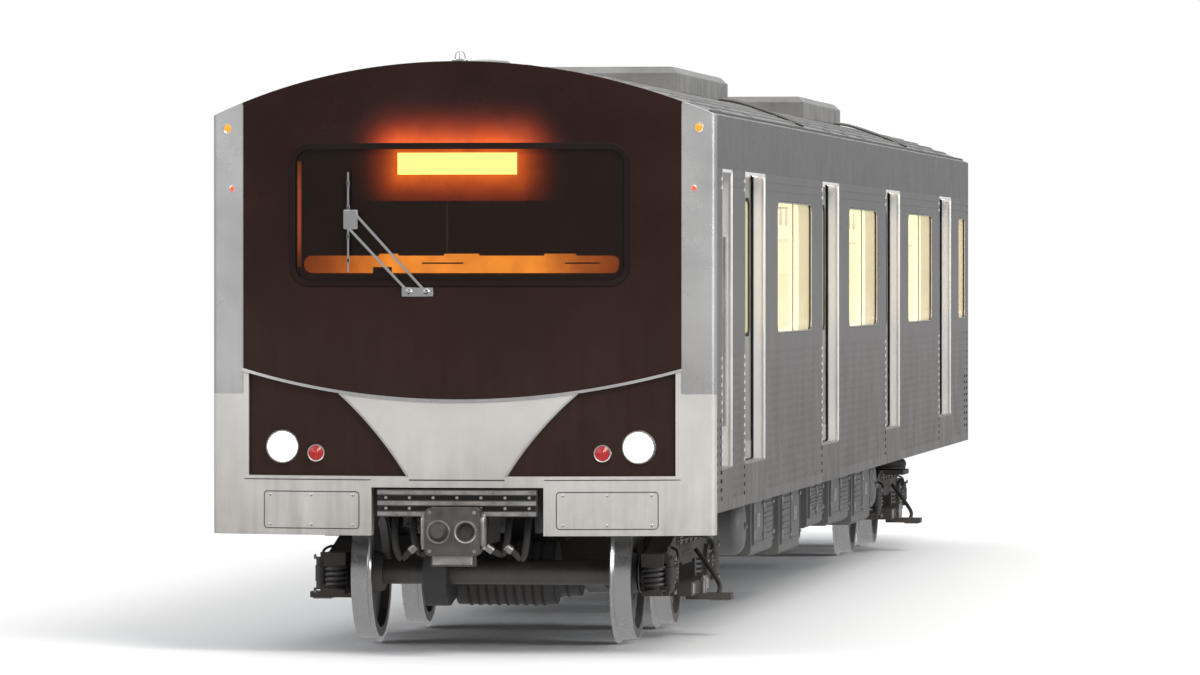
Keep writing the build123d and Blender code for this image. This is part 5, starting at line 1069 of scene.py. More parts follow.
def make_sliding_leaf(node, side, centre, way):
    """A framed skin with a gasketed pane, a rubber nosing, a pull and a kick plate."""
    out = RIGHT * side
    meeting, tail = centre + way * 0.0145, centre + way * 0.69
    middle = centre + way * 0.325
    pull = (centre + way * 0.075, 2.11)
    skin, dark, glass, steel = new_meshes(4)
    outer_face = on_side(side * LEAF_SKIN_X)
    outer = rounded_loop((min(meeting, tail), LEAF_Z[0]), (max(meeting, tail), LEAF_Z[1]), 0.004)
    opening = rounded_loop((middle - 0.215, WINDOW_Z[0]), (middle + 0.215, WINDOW_Z[1]), 0.06)
    ring_plate(skin, outer, opening, outer_face, on_side(side * LEAF_INNER_X))
    trim(
        skin, outer_face, centred_loop((middle, 1.6), (0.2, 0.3), 0.03, 4),
        bar(-0.001, 0.002, -0.006, 0.006), out,
    )
    add_side_box(skin, side, (1.466, 1.479), span(middle, 0.25), (LEAF_Z[1], 3.0995))
    add_side_box(steel, side, (1.4875, 1.4898), (meeting, tail), (1.17, 1.285), 0.001)
    for k in range(6):
        y = meeting + (tail - meeting) * (k + 0.5) / 6
        for z in (1.185, 1.27):
            turned(steel, [(0.007, 0.0), (0.005, 0.0015), (0.0, 0.002)], (side * 1.4896, y, z), out, 8)
    gasket = rounded_loop(
        (middle - 0.211, WINDOW_Z[0] + 0.004), (middle + 0.211, WINDOW_Z[1] - 0.004), 0.056,
    )
    trim(dark, on_side(side * 1.482), gasket, bar(-0.004, 0.006, -0.011, 0.013), out)
    trim(dark, on_side(side * 1.459), gasket, bar(-0.003, 0.004, -0.011, 0.013), out)
    add_side_box(dark, side, (1.457, 1.488), (centre + way * 0.0025, meeting), (1.168, 3.038), 0.004, 2)
    slab(glass, opening, on_side(side * 1.4755), on_side(side * 1.4695))
    trim(
        steel, outer_face, centred_loop(pull, (0.018, 0.09), 0.0175, 5), bar(-0.001, 0.0018, -0.004, 0.004),
        out,
    )
    slab(dark, centred_loop(pull, (0.014, 0.084), 0.0135, 5), on_side(side * 1.4886), on_side(side * 1.487))
    piece(f"{node}_skin", skin, "stainless", LEAF_STEEL, node, stands_for=[node])
    piece(f"{node}_rubber", dark, "bellows_rubber", body=node)
    piece(f"{node}_pane", glass, "glass", body=node)
    piece(f"{node}_steel", steel, "bright_stainless", body=node)


def make_doorways():
    """Jambs and lintels with a painted glint, ribbed treads and lamps round each side doorway."""
    bright, tread, lamps, dark = new_meshes(4)
    openings = [(y - DOOR_HALF, y + DOOR_HALF, 1.4985) for y in DOORS_Y] + [(*CAB_DOOR_Y, 1.448)]
    for side in (-1, 1):
        for y0, y1, inner_x in openings:
            for y, step in ((y0, 1), (y1, -1)):
                add_side_box(bright, side, (inner_x, 1.5825), (y, y + step * 0.004), (1.162, 3.044), 0.001)
                edge = (y + step * 0.003, y + step * 0.022)
                add_side_box(bright, side, (1.566, 1.584), edge, (1.162, 3.044), 0.006, 2)
                edge = (y + step * 0.003, y + step * 0.014)
                add_side_box(dark, side, (inner_x, inner_x + 0.006), edge, (1.17, 3.03))
            add_side_box(bright, side, (1.566, 1.584), (y0, y1), (3.026, 3.045), 0.006, 2)
            add_side_box(bright, side, (inner_x, 1.5825), (y0, y1), (3.042, 3.0475))
            add_side_box(bright, side, (1.572, 1.5845), (y0 + 0.001, y1 - 0.001), (1.120, 1.1605), 0.003, 2)
            add_side_box(tread, side, (inner_x, 1.584), (y0 + 0.004, y1 - 0.004), (1.158, 1.161))
            for k in range(5):
                x = 1.508 + 0.0165 * k
                add_side_box(tread, side, (x, x + 0.007), (y0 + 0.02, y1 - 0.02), (1.161, 1.1635), 0.001)
        for y in DOORS_Y:
            stud(lamps, (side * 1.5838, y, 3.20), RIGHT * side, 0.028, 0.0006, 0.0009, 24)
            for y2 in (y - DOOR_HALF + 0.05, y + DOOR_HALF - 0.05):
                add_side_box(lamps, side, (1.50, 1.56), span(y2, 0.02), (3.030, 3.0425), 0.003)
    piece("doorway_frames", bright, "bright_stainless", DOORWAY_GLINT_STEEL)
    piece("doorway_treads", tread, "bright_stainless", WORN_EDGE)
    piece("doorway_seals", dark, "bellows_rubber")
    piece("doorway_lamps", lamps, "marker_lens", PALE_LAMP)


def make_window_trims():
    """Rubber and bright rims round the side windows, the seam between panes and the inner frames."""
    dark, bright, inner = new_meshes(3)
    for side in (-1, 1):
        out = RIGHT * side
        for centre, width in WINDOWS:
            half = width / 2 - 0.006
            loop = rounded_loop(
                (centre - half, WINDOW_Z[0] + 0.006), (centre + half, WINDOW_Z[1] - 0.006), 0.084, 8,
            )
            trim(dark, on_side(side * 1.566), loop, bar(-0.002, 0.012, -0.006, 0.017), out)
            trim(bright, on_side(side * 1.580), loop, bar(-0.003, 0.0045, -0.006, 0.003), out)
            trim(inner, on_side(side * 1.440), loop, bar(-0.05, 0.004, -0.006, 0.02), -out)
            if width > 1:
                heights = (WINDOW_Z[0] + 0.01, WINDOW_Z[1] - 0.01)
                add_side_box(dark, side, (1.566, 1.571), span(centre, 0.01), heights, 0.002)
    piece("window_rubbers", dark, "bellows_rubber")
    piece("window_rims", bright, "bright_stainless")
    piece("window_linings", inner, "interior_panel")


HINGED_LEAVES = (
    # node, True across the car, way out, outer face, free edge, hinge edge, hinge line, window edges
    ("cab_door_left", False, -1, -1.490, -9.911, -9.305, -9.300, (-9.81, -9.41)),
    ("cab_door_right", False, 1, 1.490, -9.911, -9.305, -9.300, (-9.81, -9.41)),
    ("rear_door", True, 1, 10.480, -0.316, 0.320, 0.325, (-0.211, 0.211)),
    ("partition_door", True, -1, -8.875, -0.311, 0.315, 0.320, (-0.211, 0.211)),
)
HINGED_THICKNESS = 0.045
HINGED_WINDOW_Z = (2.378, 2.978)


def make_hinged_leaf(node, across, way, face, free, hinged, line, window_edges):
    """A framed leaf with a pane, a lever handle on both faces, a lock and a kick plate."""
    def at(depth):
        """Places (along, up) points depth outside the leaf's outer face."""
        return (across_car if across else on_side)(face + way * depth)

    def block(bm, depths, along, heights, bevel=0.002, segments=1):
        p, q = (at(depths[i])(along[i], heights[i]) for i in (0, 1))
        add_box(bm, [min(u, v) for u, v in zip(p, q)], [max(u, v) for u, v in zip(p, q)], bevel, segments)

    out = at(1)(0, 0) - at(0)(0, 0)
    skin, dark, glass, steel = new_meshes(4)
    window = rounded_loop(
        (window_edges[0], HINGED_WINDOW_Z[0]), (window_edges[1], HINGED_WINDOW_Z[1]), 0.05,
    )
    ring_plate(
        skin, rounded_loop((free, LEAF_Z[0]), (hinged, LEAF_Z[1]), 0.004), window, at(0),
        at(-HINGED_THICKNESS),
    )
    press = rounded_loop((free + 0.1, 1.36), (hinged - 0.1, 2.2), 0.03, 4)
    trim(skin, at(0), press, bar(-0.001, 0.003, -0.008, 0.008), out)
    for depth in (-0.004, -HINGED_THICKNESS + 0.004):
        trim(dark, at(depth), window, bar(-0.007, 0.007, -0.012, 0.010), out)
    slab(glass, window, at(-0.0195), at(-0.0255))
    for height in (1.5, 2.75):
        low, high = height - 0.0195, height + 0.0195
        add_rod(steel, at(-0.067)(line, low), at(-0.067)(line, high), 0.012, 16)
        block(steel, (-0.067, -0.044), (line - 0.04, line - 0.004), (low, high))
    for depth, facing in ((0, 1), (-HINGED_THICKNESS, -1)):
        rose = [(0.03, 0.0), (0.03, 0.004), (0.012, 0.007), (0.011, 0.024), (0.0, 0.026)]
        turned(steel, rose, at(depth)(free + 0.055, 2.21), out * facing, 24)
        lever = (depth + facing * 0.021, depth + facing * 0.031)
        block(steel, lever, (free + 0.045, free + 0.17), (2.20, 2.22), 0.004, 2)
        stud(steel, at(depth)(free + 0.055, 2.12), out * facing, 0.018, 0.004, 0.006, 20)
        block(steel, (depth, depth + facing * 0.0015), (free + 0.01, hinged - 0.01), (1.175, 1.33), 0.0)
    if node == "partition_door":
        piece(f"{node}_skin", skin, "interior_panel", body=node, stands_for=[node])
    else:
        piece(f"{node}_skin", skin, "stainless", LEAF_STEEL, node, stands_for=[node])
    piece(f"{node}_rubber", dark, "bellows_rubber", body=node)
    piece(f"{node}_pane", glass, "glass", PANES.get(node), node)
    piece(f"{node}_fittings", steel, "bright_stainless", body=node)


def make_cab_grab_bars():
    """Grab bars on both jambs of the cab side doors."""
    bars = bmesh.new()
    for x in (-1.535, 1.535):
        for wall_y, way in zip(CAB_DOOR_Y, (1, -1)):
            y = wall_y + way * 0.035
            add_rod(bars, (x, y, 1.42), (x, y, 2.62), 0.0125, 16)
            for z in (1.44, 2.03, 2.60):
                add_rod(bars, (x, y, z), (x, wall_y, z), 0.008, 10)
    piece("cab_grab_bars", bars, "pole_steel")


def make_side_fittings():
    """Small covers under the windows and the seams of two hatches low on each side."""
    bright, dark = new_meshes(2)
    for side in (-1, 1):
        out = RIGHT * side
        for y in (-8.70, -3.44, 1.83, 7.11, 8.72, 10.2):
            cover = [(0.03, 0.0), (0.03, 0.0008), (0.02, 0.0015), (0.0, 0.0015)]
            turned(bright, cover, (side * 1.5832, y, 1.94), out, 20)
        for y0, y1 in ((-10.19, -9.96), (10.16, 10.38)):
            hatch = rounded_loop((y0, 1.0), (y1, 1.5), 0.02, 4)
            trim(dark, on_side(side * 1.5795), hatch, bar(-0.001, 0.005, -0.002, 0.002), out)
    piece("side_fittings", bright, "bright_stainless")
    piece("side_hatch_seams", dark, "bellows_rubber")


for side_name, side_sign in SIDES:
    for number, door_y in enumerate(DOORS_Y, start=1):
        for end, way in (("front", -1), ("rear", 1)):
            make_sliding_leaf(f"door_{side_name}_{number}_{end}", side_sign, door_y, way)
make_doorways()
make_window_trims()
for leaf in HINGED_LEAVES:
    make_hinged_leaf(*leaf)
make_cab_grab_bars()
make_side_fittings()

# Roof: corrugations, gutters, unit lids and grilles, the cantrails' own finish

ROOF_FRONT_Y, ROOF_REAR_Y = -10.1, 10.42
UNITS_Y = (-4.4, 4.4)
UNIT_HALF_WIDTH, RIB_GAP = 0.85, 1.62
CANTRAIL_STEEL = finish(
    "wavy cantrail steel", (0.33, 0.31, 0.295), 0.9, 0.26, tone=0.14, tone_scale=3.0, stretch=ALONG_CAR,
    grain_scale=240.0, depth=0.07, waves=0.22, grime=0.5, low=2.9, high=3.5,
)
UNIT_PAINT = finish(
    "roof unit paint", (0.24, 0.235, 0.225), 0.3, 0.48, tone=0.3, tone_scale=3.0, grain_scale=70.0,
    depth=0.3,
)


def paint_cantrails():
    """Stainless on the roof's upright sides and door sills, cream inside, and a bright lower edge."""
    cream = finishes["interior_panel"]
    repaint("roof", CANTRAIL_STEEL, lambda spot: abs(spot.x) > HALF_WIDTH - 0.002 or spot.z < 3.1)
    repaint("roof", cream, lambda spot: abs(spot.x) < INNER_X + 0.002 and spot.z < 3.34)
    for name in ("side_panels_left", "side_panels_right"):
        repaint(name, cream, lambda spot: abs(spot.x) < INNER_X + 0.002)
        repaint(name, CANTRAIL_STEEL, lambda spot: abs(spot.x) > HALF_WIDTH - 0.001 and spot.z < 0.975)
    repaint(
        "underframe", finishes["stainless"],
        lambda spot: abs(spot.x) > HALF_WIDTH - 0.02 and spot.z > SOLE_Z,
    )


def make_roof_ribs():
    """Long pressed ribs over the arch, cut short at the roof units, with drip edges and cross seams."""
    ribs, seams = new_meshes(2)
    for k in range(-11, 12):
        x = 0.125 * k
        ends = [ROOF_FRONT_Y, ROOF_REAR_Y]
        if abs(x) < UNIT_HALF_WIDTH + 0.02:
            ends[1:1] = [end for y in UNITS_Y for end in span(y, RIB_GAP)]
        up = Vector((x, 0, math.sqrt(ROOF_RADIUS**2 - x**2))) / ROOF_RADIUS
        aside = Vector((up.z, 0, -up.x))
        base = Vector((x, 0, roof_z(x, -0.002)))
        for y0, y1 in zip(ends[::2], ends[1::2]):
            loft(ribs, [[
                base + BACK * y + aside * u + up * v
                for u, v in ((-0.03, 0.0), (-0.017, lift), (0.017, lift), (0.03, 0.0))
            ] for y, lift in ((y0, 0.0025), (y0 + 0.05, 0.011), (y1 - 0.05, 0.011), (y1, 0.0025))])
    for y in (-9.0, -7.0, 0.0, -1.4, 1.4, 7.0, 8.8):
        path = [Vector((x, y, roof_z(x))) for x, _ in between((-1.5, 0), (1.5, 0), 30)]
        sweep(seams, path, bar(-0.004, 0.004, -0.012, 0.012), UP, closed=False)
    gutter_z = roof_z(1.545)
    for side in (-1, 1):
        heights = (gutter_z - 0.006, gutter_z + 0.018)
        add_side_box(ribs, side, (1.515, 1.545), (ROOF_FRONT_Y, ROOF_REAR_Y), heights, 0.005)
    piece("roof_ribs", ribs, "roof_metal")
    piece("roof_seams", seams, "roof_metal")


def make_fan(centre, guards, blades, lids, bolts):
    """One fan of a roof unit: its guard of rings and spokes, the blades and a bolted rim."""
    for k in range(7):
        ring = [centre + Vector((a, b, -0.008)) for a, b in on_circle(48, 0.09 + 0.044 * k)]
        sweep(guards, ring, on_circle(5, 0.003), UP)
    hub = centre - UP * 0.006
    for a, b in on_circle(8):
        add_rod(guards, hub + Vector((a, b, 0)) * 0.075, hub + Vector((a, b, 0)) * 0.376, 0.004, 6)
    for a, b in on_circle(9):
        ray, aside = Vector((a, b, 0)), Vector((-b, a, 0))
        loft(blades, [[
            centre + ray * reach + aside * shift - UP * drop
            for shift, drop in ((-lead, 0.027), (trail, 0.014), (trail, 0.017), (-lead, 0.030))
        ] for reach, lead, trail in ((0.10, 0.03, 0.03), (0.34, 0.075, 0.05))])
    turned(
        lids, [(0.385, -0.02), (0.385, 0.0), (0.372, 0.0), (0.372, -0.02), (0.385, -0.02)], centre, UP, 48,
    )
    for a, b in on_circle(16, 0.393):
        turned(bolts, [(0.007, -0.004), (0.006, -0.0005), (0.0, 0.0)], centre + Vector((a, b, 0)), UP, 8)


def make_unit_fittings():
    """Fan guards, blades, bolted lids, side louvres, lifting eyes and drain pipes of the roof units."""
    guards, blades, lids, bolts, pipes = new_meshes(5)
    for unit_y in UNITS_Y:
        for y in span(unit_y, 0.9):
            make_fan(Vector((0, y, UNIT_TOP_Z)), guards, blades, lids, bolts)
            for x in (-0.77, 0.77):
                lid = centred_loop((x, y), (0.035, 0.5), 0.01, 2)
                trim(lids, level(UNIT_TOP_Z - 0.001), lid, bar(-0.002, 0.0008, -0.003, 0.003), UP)
        for side in (-1, 1):
            for k in range(30):
                ends = span(unit_y - 1.45 + 0.1 * k, 0.035)
                heights = (roof_z(UNIT_HALF_WIDTH) + 0.012, UNIT_TOP_Z - 0.056)
                add_side_box(lids, side, (0.849, 0.8535), ends, heights, 0.001)
            for y in span(unit_y, 1.5):
                eye = [(y + a, UNIT_TOP_Z - 0.044 + b) for a, b in on_circle(16, 0.03)[:9]]
                trim(bolts, on_side(side * 0.78), eye, on_circle(6, 0.006), RIGHT, closed=False)
            drain = ((0.84, 1.0, 0.02), (1.0, 1.02, 0.03), (1.25, 1.02, 0.02), (1.46, 1.02, 0.012))
            hose(pipes, [(side * x, unit_y + y, roof_z(x, rise)) for x, y, rise in drain], 0.012, 8)
    for y in (-1.9, 1.9, -9.3):
        cowl = [(0.16, -0.03), (0.16, 0.02), (0.145, 0.035), (0.05, 0.045), (0.0, 0.047)]
        turned(lids, cowl, (0.0, y, CROWN_Z), UP, 32)
    piece("roof_fan_guards", guards, "roof_metal", WORN_EDGE)
    piece("roof_fan_blades", blades, "roof_metal", angle=60)
    piece("roof_unit_lids", lids, "roof_metal", UNIT_PAINT)
    piece("roof_bolts", bolts, "pole_steel", WORN_EDGE)
    piece("roof_drain_pipes", pipes, "roof_metal")


dress(nodes["roof_units"], UNIT_PAINT)
paint_cantrails()
make_roof_ribs()
make_unit_fittings()

# Below the floor: bogies, coil springs, brakes, equipment boxes, pipes, coupler

BOGIES = (("front", -7.62), ("rear", 7.62))
HALF_BASE = 1.065
SPRING_X = 1.03
AXLES_Y = (-8.685, -6.555, 6.555, 8.685)
EQUIPMENT = (
    # x and y of the middle, width, length and height of each box
    (-0.76, -3.9, 0.90, 1.7, 0.52), (0.76, -3.9, 0.90, 1.5, 0.48), (-0.78, -1.95, 0.86, 1.3, 0.43),
    (0.78, -1.95, 0.86, 1.5, 0.54), (-0.76, 0.0, 0.90, 1.6, 0.50), (0.76, 0.0, 0.90, 1.2, 0.42),
    (-0.76, 1.95, 0.90, 1.5, 0.54), (0.78, 1.95, 0.86, 1.7, 0.46), (-0.78, 3.9, 0.86, 1.4, 0.43),
    (0.76, 3.9, 0.90, 1.6, 0.52),
)
TANK_Z = SOLE_Z - 0.25
# x, z and radius of each long pipe
PIPES = ((0.235, 0.858, 0.018), (0.235, 0.80, 0.013), (1.262, 0.866, 0.016), (1.262, 0.83, 0.011))
SPRING_PAINT = finish(
    "spring paint", (0.07, 0.07, 0.075), 0.3, 0.42, tone=0.3, tone_scale=8.0, grain_scale=120.0,
    grime=0.5, low=0.2, high=0.7, grime_colour=(0.14, 0.10, 0.07, 1),
)


def bolt_circle(bm, centre, axis, radius, count, size, height=0.012):
    """Hexagon bolt heads on a circle."""
    turn = axis.to_track_quat("Z", "Y").to_matrix()
    head = [(size, 0.0), (size, height * 0.8), (size * 0.7, height), (0.0, height)]
    for a, b in on_circle(count, radius):
        turned(bm, head, Vector(centre) + turn @ Vector((a, b, 0)), axis, 6)


def coil(bm, x, y, radius, wire, low, high, turns):
    """A coil spring standing on low."""
    ring = on_circle(14, radius)
    spots = [*ring * turns, ring[0]]
    climb = (high - low - 2 * wire) / (len(spots) - 1)
    path = [Vector((x + a, y + b, low + wire + climb * k)) for k, (a, b) in enumerate(spots)]
    sweep(bm, path, on_circle(7, wire), UP, closed=False)


def make_axle_box(side, way, y, springs, iron, steel, hoses):
    """Springs, cover, damper, cable and brake of the axle box at y; way points to the bogie's near end."""
    out = RIGHT * side
    for spring_y in span(y, 0.23):
        coil(springs, side * SPRING_X, spring_y, 0.064, 0.0135, 0.350, 0.511, 4)
        for z in (0.352, 0.505):
            turned(
                iron, [(0.085, -0.004), (0.085, 0.006), (0.05, 0.008)], (side * SPRING_X, spring_y, z), UP,
                24,
            )
    cover = [(0.111, -0.02), (0.111, 0.004), (0.098, 0.012), (0.055, 0.015), (0.05, 0.03), (0.0, 0.032)]
    turned(iron, cover, (side * 1.122, y, AXLE_Z), out, 40)
    bolt_circle(steel, (side * 1.128, y, AXLE_Z), out, 0.088, 8, 0.011)
    bolt_circle(steel, (side * 1.149, y, AXLE_Z), out, 0.033, 3, 0.007)
    damper_y = y + way * 0.215
    damper = [(0.038, 0.0), (0.038, 0.10), (0.033, 0.105), (0.033, 0.11)]
    turned(iron, damper, (side * 1.132, damper_y, 0.402), UP, 20)
    for z in (0.345, 0.56):
        add_rod(steel, *mirrored(side, (1.165, damper_y, z), (1.178, damper_y, z)), 0.016, 12)
    add_side_box(iron, side, (1.101, 1.107), span(y, 0.09), (0.612, 0.626), 0.002)
    hose(hoses, mirrored(
        side, (1.11, y - way * 0.08, 0.62), (1.15, y - way * 0.05, 0.60), (1.16, y - way * 0.01, 0.56),
        (1.14, y, 0.53),
    ), 0.009, 7)
    shoe_y = y - way * 0.52
    add_side_box(iron, side, (0.80, 0.93), (shoe_y, shoe_y - way * 0.09), (0.42, 0.55), 0.012, 2)
    pin = mirrored(side, (0.855, shoe_y + way * 0.03, 0.485), (0.855, shoe_y - way * 0.10, 0.485))
    add_rod(steel, *pin, 0.036, 16)
    add_side_box(iron, side, (0.79, 0.81), (shoe_y + way * 0.04, shoe_y - way * 0.02), (0.40, 0.60), 0.004)
    add_side_box(iron, side, (0.955, 0.962), span(y, 0.30), (0.535, 0.585), 0.003)


def make_bogie_side(side, y, iron, steel, hoses):
    """Pipes and ribs along one side frame, the shoe gear outside it and the air spring's plates."""
    for x, z, radius in ((1.104, 0.665, 0.008), (1.108, 0.645, 0.008), (1.104, 0.628, 0.006)):
        add_rod(steel, *mirrored(side, (x, y - 0.62, z), (x, y + 0.62, z)), radius, 8)
    for k in range(5):
        add_side_box(iron, side, (1.098, 1.12), span(y - 0.55 + 0.275 * k, 0.012), (0.618, 0.68), 0.003)
    for heights in ((0.515, 0.535), (0.585, 0.60)):
        add_side_box(iron, side, (1.098, 1.103), span(y, 0.45), heights)
    for k in range(6):
        stud(steel, (side * 1.10, y - 0.25 + 0.1 * k, 0.56), RIGHT * side, 0.012, 0.010, 0.011, 6)
    add_side_box(iron, side, (1.24, 1.398), span(y, 0.085), (0.247, 0.262), 0.004)
    add_side_box(steel, side, (1.26, 1.385), span(y, 0.075), (0.236, 0.2455), 0.003)
    for bolt_y in span(y, 0.06):
        add_rod(steel, *mirrored(side, (1.215, bolt_y, 0.285), (1.215, bolt_y, 0.40)), 0.012, 10)
        stud(steel, (side * 1.215, bolt_y, 0.375), UP, 0.022, 0.012, 0.014, 6)
    for plate_y in span(y, 0.40):
        add_side_box(steel, side, (1.185, 1.196), span(plate_y, 0.05), (0.295, 0.365), 0.004)
    hose(hoses, mirrored(
        side, (1.30, y + 0.05, 0.265), (1.30, y + 0.16, 0.33), (1.22, y + 0.26, 0.44),
        (1.12, y + 0.34, 0.56),
    ), 0.016, 9)
    for way in (-1, 1):
        hose(hoses, mirrored(
            side, (0.35, y + way * 0.50, 0.655), (0.46, y + way * 0.42, 0.74),
            (0.50, y + way * 0.34, 0.82), (0.50, y + way * 0.32, 0.872),
        ), 0.020, 9)
    foot = [(0.19, 0.0), (0.235, 0.008), (0.235, 0.02), (0.2, 0.026)]
    top = [(0.19, 0.0), (0.225, -0.006), (0.225, -0.014), (0.2, -0.018)]
    for z, plate in ((0.70, foot), (0.8915, top)):
        turned(iron, plate, (side * SPRING_X, y, z), UP, 40)


def make_bogie_fittings(end, y):
    """Springs, caps, pipes, brake gear, cables and ribbed motors of one bogie."""
    springs, iron, steel, hoses = new_meshes(4)
    for side in (-1, 1):
        make_bogie_side(side, y, iron, steel, hoses)
        for way in (-1, 1):
            make_axle_box(side, way, y + way * HALF_BASE, springs, iron, steel, hoses)
            cap = [(0.205, 0.0), (0.205, 0.008), (0.10, 0.012), (0.0, 0.014)]
            turned(iron, cap, (side * 0.318, y + way * 0.63, 0.44), RIGHT * side, 32)
    for motor_y in span(y, 0.63):
        for k in range(9):
            rib = [(0.2095, -0.01), (0.2165, -0.008), (0.2165, 0.008), (0.2095, 0.01)]
            turned(iron, rib, (-0.24 + 0.06 * k, motor_y, 0.44), RIGHT, 32)
    body = f"{end}_bogie"
    piece(f"{end}_coil_springs", springs, "frame_metal", SPRING_PAINT, body)
    piece(f"{end}_bogie_gear", iron, "frame_metal", body=body)
    piece(f"{end}_bogie_bolts", steel, "frame_metal", WORN_EDGE, body)
    piece(f"{end}_bogie_hoses", hoses, "bellows_rubber", body=body)


def make_wheel_fittings(body, y):
    """Brake discs, hub bolts and journal ends of one wheelset."""
    bolts, discs = new_meshes(2)
    for side in (-1, 1):
        out = RIGHT * side
        bolt_circle(bolts, (side * 0.858, y, AXLE_Z), out, 0.19, 10, 0.012, 0.010)
        journal = [(0.128, 0.0), (0.128, 0.006), (0.118, 0.010), (0.095, 0.011)]
        turned(bolts, journal, (side * 0.918, y, AXLE_Z), out, 40)
        disc = [(0.355, 0.0), (0.355, 0.004), (0.345, 0.006), (0.235, 0.006), (0.225, 0.0), (0.355, 0.0)]
        turned(discs, disc, (side * 0.8575, y, AXLE_Z), out, 56)
    piece(f"{body}_fittings", bolts, "wheel_steel", WORN_EDGE, body)
    piece(f"{body}_rims", discs, "wheel_steel", WORN_EDGE, body)


def make_box_lid(side, face_x, start, end, low, high, louvred, panels, metal):
    """One lid of an equipment box from start to end: latches, hinges and louvres or a name plate."""
    out = RIGHT * side
    rim = rounded_loop((start + 0.012, low + 0.014), (end - 0.012, high - 0.014), 0.025, 4)
    trim(panels, on_side(side * face_x), rim, bar(-0.002, 0.006, -0.009, 0.009), out)
    lock, hinge = end - 0.05, start + 0.022
    for z in (low + 0.06, high - 0.06):
        add_side_box(
            metal, side, (face_x, face_x + 0.014), (lock - 0.012, lock + 0.03), span(z, 0.015), 0.003,
        )
        stud(metal, (side * face_x, lock, z), out, 0.010, 0.018, 0.020, 12)
    for z in (low + 0.08, high - 0.08):
        pin = mirrored(side, (face_x + 0.006, hinge, z - 0.03), (face_x + 0.006, hinge, z + 0.03))
        add_rod(metal, *pin, 0.007, 10)
    if louvred:
        for n in range(7):
            z = low + 0.06 + (high - low - 0.12) * n / 6
            ends = (start + 0.08, end - 0.08)
            add_side_box(panels, side, (face_x, face_x + 0.009), ends, (z - 0.008, z + 0.006), 0.004)
    else:
        plate = centred_loop(((start + end) / 2, (low + high) / 2), (0.1, 0.05), 0.01, 2)
        slab(metal, plate, on_side(side * (face_x + 0.003)), on_side(side * face_x))


def make_equipment_box(index, x, y, width, length, height, panels, metal, cables, dark):
    """Lids, ribs, brackets and cables of one equipment box."""
    side, middle_x = (1 if x > 0 else -1), abs(x)
    half = length / 2 - 0.07
    for k, start in enumerate((y - half, y)):
        make_box_lid(
            side, middle_x + width / 2 + 0.012, start, start + half, SOLE_Z - height + 0.07, SOLE_Z - 0.07,
            (index + k) % 3 != 1, panels, metal,
        )
    for way in (-1, 1):
        edge_y = y + way * length / 2
        near = edge_y - way * 0.001
        for n in range(4):
            rib_x = middle_x - width / 2 + 0.12 + n * (width - 0.24) / 3
            heights = (SOLE_Z - height + 0.05, SOLE_Z - 0.02)
            add_side_box(dark, side, span(rib_x, 0.012), (near, edge_y + way * 0.012), heights, 0.002)
        for bracket_x in span(middle_x, width / 4):
            heights = (SOLE_Z - 0.03, SOLE_Z - 0.001)
            add_side_box(dark, side, span(bracket_x, 0.04), (near, edge_y + way * 0.05), heights, 0.003)
    for n in range(3):
        gland_x, gland_z = middle_x - width / 4 + n * width / 6, SOLE_Z - 0.16 - 0.05 * n
        path = [(-0.01, gland_z), (0.07, gland_z - 0.01), (0.12, SOLE_Z - 0.10), (0.14, SOLE_Z - 0.01)]
        hose(cables, [(side * gland_x, y + length / 2 + along, z) for along, z in path], 0.014, 7)
        gland = [(side * gland_x, y + length / 2 + along, gland_z) for along in (-0.002, 0.022)]
        add_rod(metal, *gland, 0.022, 6)


def make_equipment():
    """Fittings of the equipment boxes and air tanks, and the long pipes with their clips."""
    panels, metal, cables, dark = new_meshes(4)
    for index, box in enumerate(EQUIPMENT):
        make_equipment_box(index, *box, panels, metal, cables, dark)
    for side in (-1, 1):
        out = RIGHT * side
        for y in (-5.15, 5.15):
            for x in (0.37, 1.0):
                strap = [(0.2005, -0.022), (0.204, -0.022), (0.204, 0.022), (0.2005, 0.022)]
                turned(metal, strap, (side * x, y, TANK_Z), out, 40)
            plug = [(0.03, 0.0), (0.03, 0.012), (0.018, 0.014), (0.018, 0.022), (0.0, 0.024)]
            turned(metal, plug, (side * 1.218, y, TANK_Z), out, 6)
            add_rod(metal, *mirrored(side, (0.7, y, TANK_Z - 0.205), (0.7, y, TANK_Z - 0.245)), 0.012, 10)
        for x, z, radius in PIPES:
            add_rod(metal, *mirrored(side, (x, -5.6, z), (x, 5.6, z)), radius, 10)
            for n in range(9):
                add_side_box(
                    dark, side, span(x, 0.03), span(-5.2 + 1.3 * n, 0.02), (z - radius, 0.8915), 0.002,
                )
    piece("equipment_panels", panels, "equipment_grey")
    piece("equipment_latches", metal, "equipment_grey", WORN_EDGE)
    piece("equipment_ribs", dark, "frame_metal")
    piece("equipment_cables", cables, "bellows_rubber")


